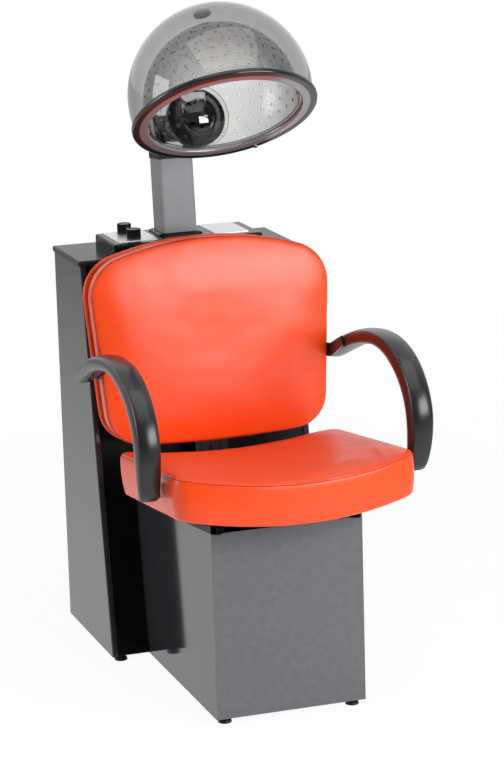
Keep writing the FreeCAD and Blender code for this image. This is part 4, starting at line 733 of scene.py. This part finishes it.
# The flat arm rest runs out in a shallow tongue, moulded a little below the round front
def makeArm(name, node, side):
    piece = addPiece(name, nodes[node].data.copy(), "armUrethane", "chair")
    for vertex in piece.data.vertices:
        left = 1 - armStation(vertex.co.y, vertex.co.z)[0] / armPlan["stretch"]
        vertex.co += Vector(armPlan["longer"]) * max(left, 0.0)
    remeshPiece(piece, armPlan["voxel"])
    easePiece(piece, armPlan["ease"])
    end = armStation(rearFace - armPlan["crease"][0], armPlan["crease"][1])[0]
    normals = [vertex.normal.copy() for vertex in piece.data.vertices]
    for vertex, normal in zip(piece.data.vertices, normals):
        station, out = armStation(vertex.co.y, vertex.co.z)
        aside = abs(vertex.co.x - side * armPlan["middle"]) / armPlan["half"]
        ahead = station - end + armPlan["tongue"] * aside ** 2
        share = smoothStep(*armPlan["run"], ahead) * (1 - smoothStep(*armPlan["lip"], ahead))
        share *= (1 - smoothStep(*armPlan["edge"], aside)) * smoothStep(*armPlan["facing"], normal.dot(out))
        vertex.co -= out * armPlan["depth"] * share
    smoothFaces(piece)
    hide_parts(node)


print("dryer chair: moulding the arms")
makeArm("leftArm", "left_arm", -1)
makeArm("rightArm", "right_arm", 1)

# Small fittings that the photograph shows a little different from their plain solids

fittingPlan = {
    "footPlates": {"node": "arm_front_brackets", "finish": "brightBolt", "slot": "bright_steel", "body": "chair",
                   "about": (0, -0.331, 0.511), "scale": (1, 0.5, 0.5)},
    "postFoot": {"node": "post_collar", "finish": "blackMould", "slot": "black_plastic", "body": "chair",
                 "about": (0, 0.365, 0.9225), "scale": (1, 1, 0.4)},
    "portRing": {"node": "port_flange", "finish": "clearShell", "slot": "clear_plastic", "body": "hood",
                 "about": (0, 0.177, 1.208), "scale": (1.1, 1.1, 1.1)},
}
railPlan = {"cut": -0.372, "end": -0.347, "frontBolts": -0.3, "boltShift": 0.032}
ballPlan = {"rim": (0, 0.1948, 1.2006), "lean": 111.8, "wider": 1.13, "deeper": 1.75}


def copyPiece(name, node, finish, body, reshape):
    piece = addPiece(name, nodes[node].data.copy(), finish, body)
    for vertex in piece.data.vertices:
        vertex.co = reshape(vertex.co.copy())
    piece.data.set_sharp_from_angle(angle=sharpAngle)
    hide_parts(node)


def scaleAbout(plan):
    about, scale = Vector(plan["about"]), Vector(plan["scale"])
    return lambda spot: about + (spot - about) * scale


# Moves a point back along the seat's rake
def slideBack(spot, back):
    return spot + Vector((0, back, -back * math.tan(math.radians(places["seat"]["lean"]))))


# The rails end behind the pedestal's front, and their bolts with them
def shortenRail(spot):
    return slideBack(spot, railPlan["end"] - spot.y) if spot.y < railPlan["cut"] else spot


def shiftBolt(spot):
    return slideBack(spot, railPlan["boltShift"]) if spot.y < railPlan["frontBolts"] else spot


# The outlet's ball, a little wider and rounder than its solid
def swellBall(spot):
    lean = math.radians(ballPlan["lean"])
    axis = Vector((0, math.sin(lean), math.cos(lean)))
    away = spot - Vector(ballPlan["rim"])
    deep = away.dot(axis)
    aside = (away - axis * deep) * ballPlan["wider"]
    return Vector(ballPlan["rim"]) + aside + axis * deep * (ballPlan["deeper"] if deep < 0 else 1.0)


print("dryer chair: setting the small fittings")
for name, plan in fittingPlan.items():
    copyPiece(name, plan["node"], plan["finish"], plan["body"], scaleAbout(plan))
copyPiece("seatRails", "seat_rails", "darkCoat", "chair", shortenRail)
copyPiece("seatBolts", "seat_bolts", "brightBolt", "chair", shiftBolt)
copyPiece("outletBall", "air_diffuser", "ballBlack", "hood", swellBall)

# Hood

bowlPlan = {
    "radius": 0.167, "rise": 0.035, "wall": 0.0025, "low": 0.005, "flange": 0.1885, "arcs": 44, "around": 176,
    "round": 0.93,
}


# The closed section of the bowl's wall, from its outer pole down and round its flange to its inner pole
def bowlSection():
    outer, wall, rise, low = [bowlPlan[key] for key in ("radius", "wall", "rise", "low")]
    inner, arcs = outer - wall, bowlPlan["arcs"]
    drop, innerDrop = math.asin((rise - low) / outer), math.asin((rise - low) / inner)
    section = []
    for step in range(arcs + 1):
        turn = math.pi / 2 - (math.pi / 2 + drop) * step / arcs
        section.append((outer * math.cos(turn), rise + outer * math.sin(turn)))
    section[-1] = (section[-1][0], low + wall)
    section += [(bowlPlan["flange"], low + wall), (bowlPlan["flange"], low)]
    for step in range(arcs + 1):
        turn = -innerDrop + (math.pi / 2 + innerDrop) * step / arcs
        section.append((inner * math.cos(turn), rise + inner * math.sin(turn)))
    return section


def bowlMesh():
    made = bmesh.new()
    rings = []
    for radius, height in bowlSection():
        if radius < 1e-6:
            rings.append([made.verts.new((0, 0, height))])
        else:
            rings.append([made.verts.new((radius * x, radius * y, height)) for x, y in circle(bowlPlan["around"])])
    for first, second in zip(rings, rings[1:]):
        bridgeRings(made, first, second)
    mesh = closeMesh(made, "bowlShell")
    mesh.materials.append(finishes["clearShell"])
    return mesh


drillPlan = {"radius": 0.0038, "pitch": 0.029, "rows": 0.9, "first": 11.0, "last": 96, "corners": 12, "deep": 0.010}


# Round drills through the bowl's wall, in rows at even gaps
def drillMesh():
    outer, wall = bowlPlan["radius"], bowlPlan["wall"]
    centre = Vector((0, 0, bowlPlan["rise"]))
    drills = bmesh.new()
    down = math.radians(drillPlan["first"])
    row = 0
    while down < math.radians(drillPlan["last"]):
        count = max(round(2 * math.pi * outer * math.sin(down) / drillPlan["pitch"]), 1)
        for index in range(count):
            turn = 2 * math.pi * (index + 0.5 * (row % 2)) / count
            out = Vector((math.sin(down) * math.cos(turn), math.sin(down) * math.sin(turn), math.cos(down)))
            turned = out.to_track_quat("Z", "Y").to_matrix().to_4x4()
            where = Matrix.Translation(centre + out * (outer - wall / 2)) @ turned
            bmesh.ops.create_cone(drills, cap_ends=True, segments=drillPlan["corners"], matrix=where,
                                  radius1=drillPlan["radius"], radius2=drillPlan["radius"], depth=drillPlan["deep"])
        down += drillPlan["pitch"] * drillPlan["rows"] / outer
        row += 1
    mesh = bpy.data.meshes.new("bowlDrills")
    drills.to_mesh(mesh)
    drills.free()
    mesh.materials.append(finishes["drilledEdge"])
    return mesh


# The wall's faces shade as a sphere, and those of the holes and the flange keep their own normals
def roundWall(mesh):
    centre = Vector((0, 0, bowlPlan["rise"]))
    normals = []
    for face in mesh.polygons:
        face.use_smooth = True
        lean = face.normal.dot((face.center - centre).normalized())
        for loop in face.loop_indices:
            radial = (mesh.vertices[mesh.loops[loop].vertex_index].co - centre).normalized()
            onWall = abs(lean) > bowlPlan["round"]
            normals.append(radial * math.copysign(1, lean) if onWall else face.normal.copy())
    mesh.normals_split_custom_set([tuple(normal) for normal in normals])


def perforatedBowl():
    drill = bpy.data.objects.new("bowlDrills", drillMesh())
    shell = bpy.data.objects.new("bowlShell", bowlMesh())
    for part in (drill, shell):
        scene.collection.objects.link(part)
    bore = shell.modifiers.new("bore", "BOOLEAN")
    bore.operation, bore.solver, bore.object, bore.material_mode = "DIFFERENCE", "EXACT", drill, "TRANSFER"
    applyModifiers(shell)
    mesh = shell.data
    for part in (drill, shell):
        bpy.data.objects.remove(part)
    roundWall(mesh)
    mesh.transform(placeMatrix("hood"))
    bowl = bpy.data.objects.new("bowlShell", mesh)
    scene.collection.objects.link(bowl)
    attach(bowl, "hood")
    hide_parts("inner_bowl")


ringPlan = {
    "rim": ((185.0, 5.0), (185.0, -4.6), (190.0, -5.0), (195.0, -5.0), (197.6, -4.7), (199.5, -3.6), (200.6, -1.9),
            (201.0, 0.2), (201.0, 2.6), (200.5, 4.6), (199.4, 6.2), (197.9, 7.4), (196.2, 8.0), (194.6, 8.0),
            (193.6, 7.6), (193.2, 6.8), (193.2, 5.0)),
    "band": ((185.0, -4.6), (185.0, 5.0), (167.6, 5.0), (166.4, 4.4), (166.0, 3.4), (166.0, -1.8), (166.3, -3.3),
             (167.2, -4.4), (168.6, -5.0), (171.0, -5.0), (183.6, -4.4)),
    "around": 180, "unit": 0.001,
}


# A ring turned from the closed line of its section, in millimetres from the hood's axis and middle plane
def turnRing(name, section, finish):
    made = bmesh.new()
    unit = ringPlan["unit"]
    rings = [[made.verts.new((radius * x * unit, radius * y * unit, height * unit)) for radius, height in section]
             for x, y in circle(ringPlan["around"])]
    for first, second in zip(rings, rings[1:] + rings[:1]):
        bridgeRings(made, first, second)
    mesh = closeMesh(made, name)
    mesh.transform(placeMatrix("hood"))
    piece = addPiece(name, mesh, finish, "hood")
    mesh.set_sharp_from_angle(angle=sharpAngle)
    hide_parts("hood_ring")


print("dryer chair: drilling the bowl")
perforatedBowl()
turnRing("ringRim", ringPlan["rim"], "glossBlack")
turnRing("ringBand", ringPlan["band"], "ringSilver")

# Dial scales on the control plate

dialPlan = {
    "timer": {"y": rearFace - 0.088, "marks": 13, "sweep": 300, "longEvery": 4},
    "heat": {"y": rearFace - 0.164, "marks": 7, "sweep": 180, "longEvery": 2},
    "x": -0.111, "level": 0.9237, "lift": 0.00012, "inner": 0.0178, "short": 0.0022, "long": 0.0034, "width": 0.0007,
}


def addDial(name):
    plan = dialPlan[name]
    centre = Vector((dialPlan["x"], plan["y"], dialPlan["level"]))
    made = bmesh.new()
    for mark in range(plan["marks"]):
        turn = math.radians(90 + plan["sweep"] * (0.5 - mark / (plan["marks"] - 1)))
        out = Vector((math.cos(turn), math.sin(turn), 0))
        aside = Vector((-out.y, out.x, 0)) * dialPlan["width"] / 2
        near = centre + out * dialPlan["inner"]
        far = near + out * dialPlan["short" if mark % plan["longEvery"] else "long"]
        corners = [made.verts.new(point) for point in (near - aside, far - aside, far + aside, near + aside)]
        top = bmesh.ops.extrude_face_region(made, geom=[made.faces.new(corners)])
        bmesh.ops.translate(made, vec=(0, 0, dialPlan["lift"]),
                            verts=[item for item in top["geom"] if isinstance(item, bmesh.types.BMVert)])
    mesh = closeMesh(made, name + "Marks")
    addPiece(name + "Marks", mesh, "dialPrint", "chair", smooth=False)


addDial("timer")
addDial("heat")

# Floor, world and lamps

stagePlan = {
    "side": 45.0, "rough": 0.7, "away": (1.2, 4.0), "share": (0.94, 1.0), "near": (-3.2, -1.2), "fade": (1.0, 5.0),
    "faded": (1.0, 0.45), "room": 0.15, "roomSpan": (-0.4, 0.2), "world": 0.15,
}


# A white floor that keeps the chair's shadow, seen dimmer by reflections towards the camera
def addStage():
    side = stagePlan["side"]
    mesh = bpy.data.meshes.new("studioFloor")
    mesh.from_pydata([(-side, -side, 0), (side, -side, 0), (side, side, 0), (-side, side, 0)], [], [(0, 1, 2, 3)])
    floor = bpy.data.objects.new("studioFloor", mesh)
    scene.collection.objects.link(floor)
    made = bpy.data.materials.new("studioFloor")
    made.use_nodes = True
    sheet = NodeSheet(made.node_tree)
    shader = made.node_tree.nodes["Principled BSDF"]
    shader.inputs["Base Color"].default_value = (1, 1, 1, 1)
    shader.inputs["Roughness"].default_value = stagePlan["rough"]
    where = sheet.add("ShaderNodeTexCoord").outputs["Object"]
    away = sheet.add("ShaderNodeVectorMath", operation="LENGTH")
    sheet.join(where, away.inputs[0])
    away = away.outputs["Value"]
    split = sheet.add("ShaderNodeSeparateXYZ")
    sheet.join(where, split.inputs[0])
    share = sheet.span(away, stagePlan["away"], stagePlan["share"])
    near = sheet.span(split.outputs["Y"], stagePlan["near"], (stagePlan["room"], 1.0))
    fade = sheet.span(away, stagePlan["fade"], stagePlan["faded"])
    rays = sheet.add("ShaderNodeLightPath").outputs
    shown = sheet.maths("MAXIMUM", sheet.maths("MULTIPLY", near, fade), rays["Is Transmission Ray"])
    glow = sheet.add("ShaderNodeEmission")
    sheet.join(sheet.maths("MAXIMUM", rays["Is Camera Ray"], shown), glow.inputs["Strength"])
    seen = sheet.maths("MAXIMUM", rays["Is Camera Ray"], rays["Is Glossy Ray"])
    seen = sheet.maths("MAXIMUM", seen, rays["Is Transmission Ray"])
    mix = sheet.add("ShaderNodeMixShader")
    sheet.join(sheet.maths("MULTIPLY", seen, share), mix.inputs[0])
    sheet.join(shader.outputs[0], mix.inputs[1])
    sheet.join(glow.outputs[0], mix.inputs[2])
    sheet.join(mix.outputs[0], made.node_tree.nodes["Material Output"].inputs["Surface"])
    mesh.materials.append(made)


# White behind the chair, and a dim room on the camera's side
def addWorld():
    world = bpy.data.worlds.new("studioWorld")
    scene.world = world
    world.use_nodes = True
    sheet = NodeSheet(world.node_tree)
    shade = world.node_tree.nodes["Background"]
    shade.inputs["Color"].default_value = (1, 1, 1, 1)
    split = sheet.add("ShaderNodeSeparateXYZ")
    sheet.join(sheet.add("ShaderNodeTexCoord").outputs["Generated"], split.inputs[0])
    room = sheet.span(split.outputs["Y"], stagePlan["roomSpan"], (stagePlan["room"], 1.0),
                      interpolation_type="SMOOTHSTEP")
    rays = sheet.add("ShaderNodeLightPath").outputs
    thrown = sheet.maths("MAXIMUM", rays["Is Glossy Ray"], rays["Is Transmission Ray"])
    seen = sheet.maths("MAXIMUM", rays["Is Camera Ray"], sheet.maths("MULTIPLY", thrown, room))
    sheet.join(sheet.maths("MAXIMUM", seen, stagePlan["world"]), shade.inputs["Strength"])


lampPlan = {
    "frontSoftbox": {"place": (1.45, -2.9, 1.62), "aim": (0, 0, 0.95), "size": (2.4, 1.6), "power": 108},
    "topSoftbox": {"place": (0, -1.0, 3.6), "aim": (0, -0.1, 0.7), "size": (3.4, 2.6), "power": 40},
    "leftSoftbox": {"place": (-3.0, 0.4, 1.5), "aim": (0, 0, 0.6), "size": (1.2, 1.6), "power": 28},
}


def addLamps():
    for name, plan in lampPlan.items():
        lamp = bpy.data.lights.new(name, "AREA")
        lamp.shape = "RECTANGLE"
        lamp.size, lamp.size_y = plan["size"]
        lamp.energy = plan["power"]
        hung = bpy.data.objects.new(name, lamp)
        scene.collection.objects.link(hung)
        hung.location = plan["place"]
        hung.visible_camera = False
        ahead = Vector(plan["aim"]) - Vector(plan["place"])
        hung.rotation_euler = ahead.to_track_quat("-Z", "Y").to_euler()


print("dryer chair: lighting the stage")
addStage()
addWorld()
addLamps()
scene.view_settings.view_transform = "Standard"

print("dryer chair: done")
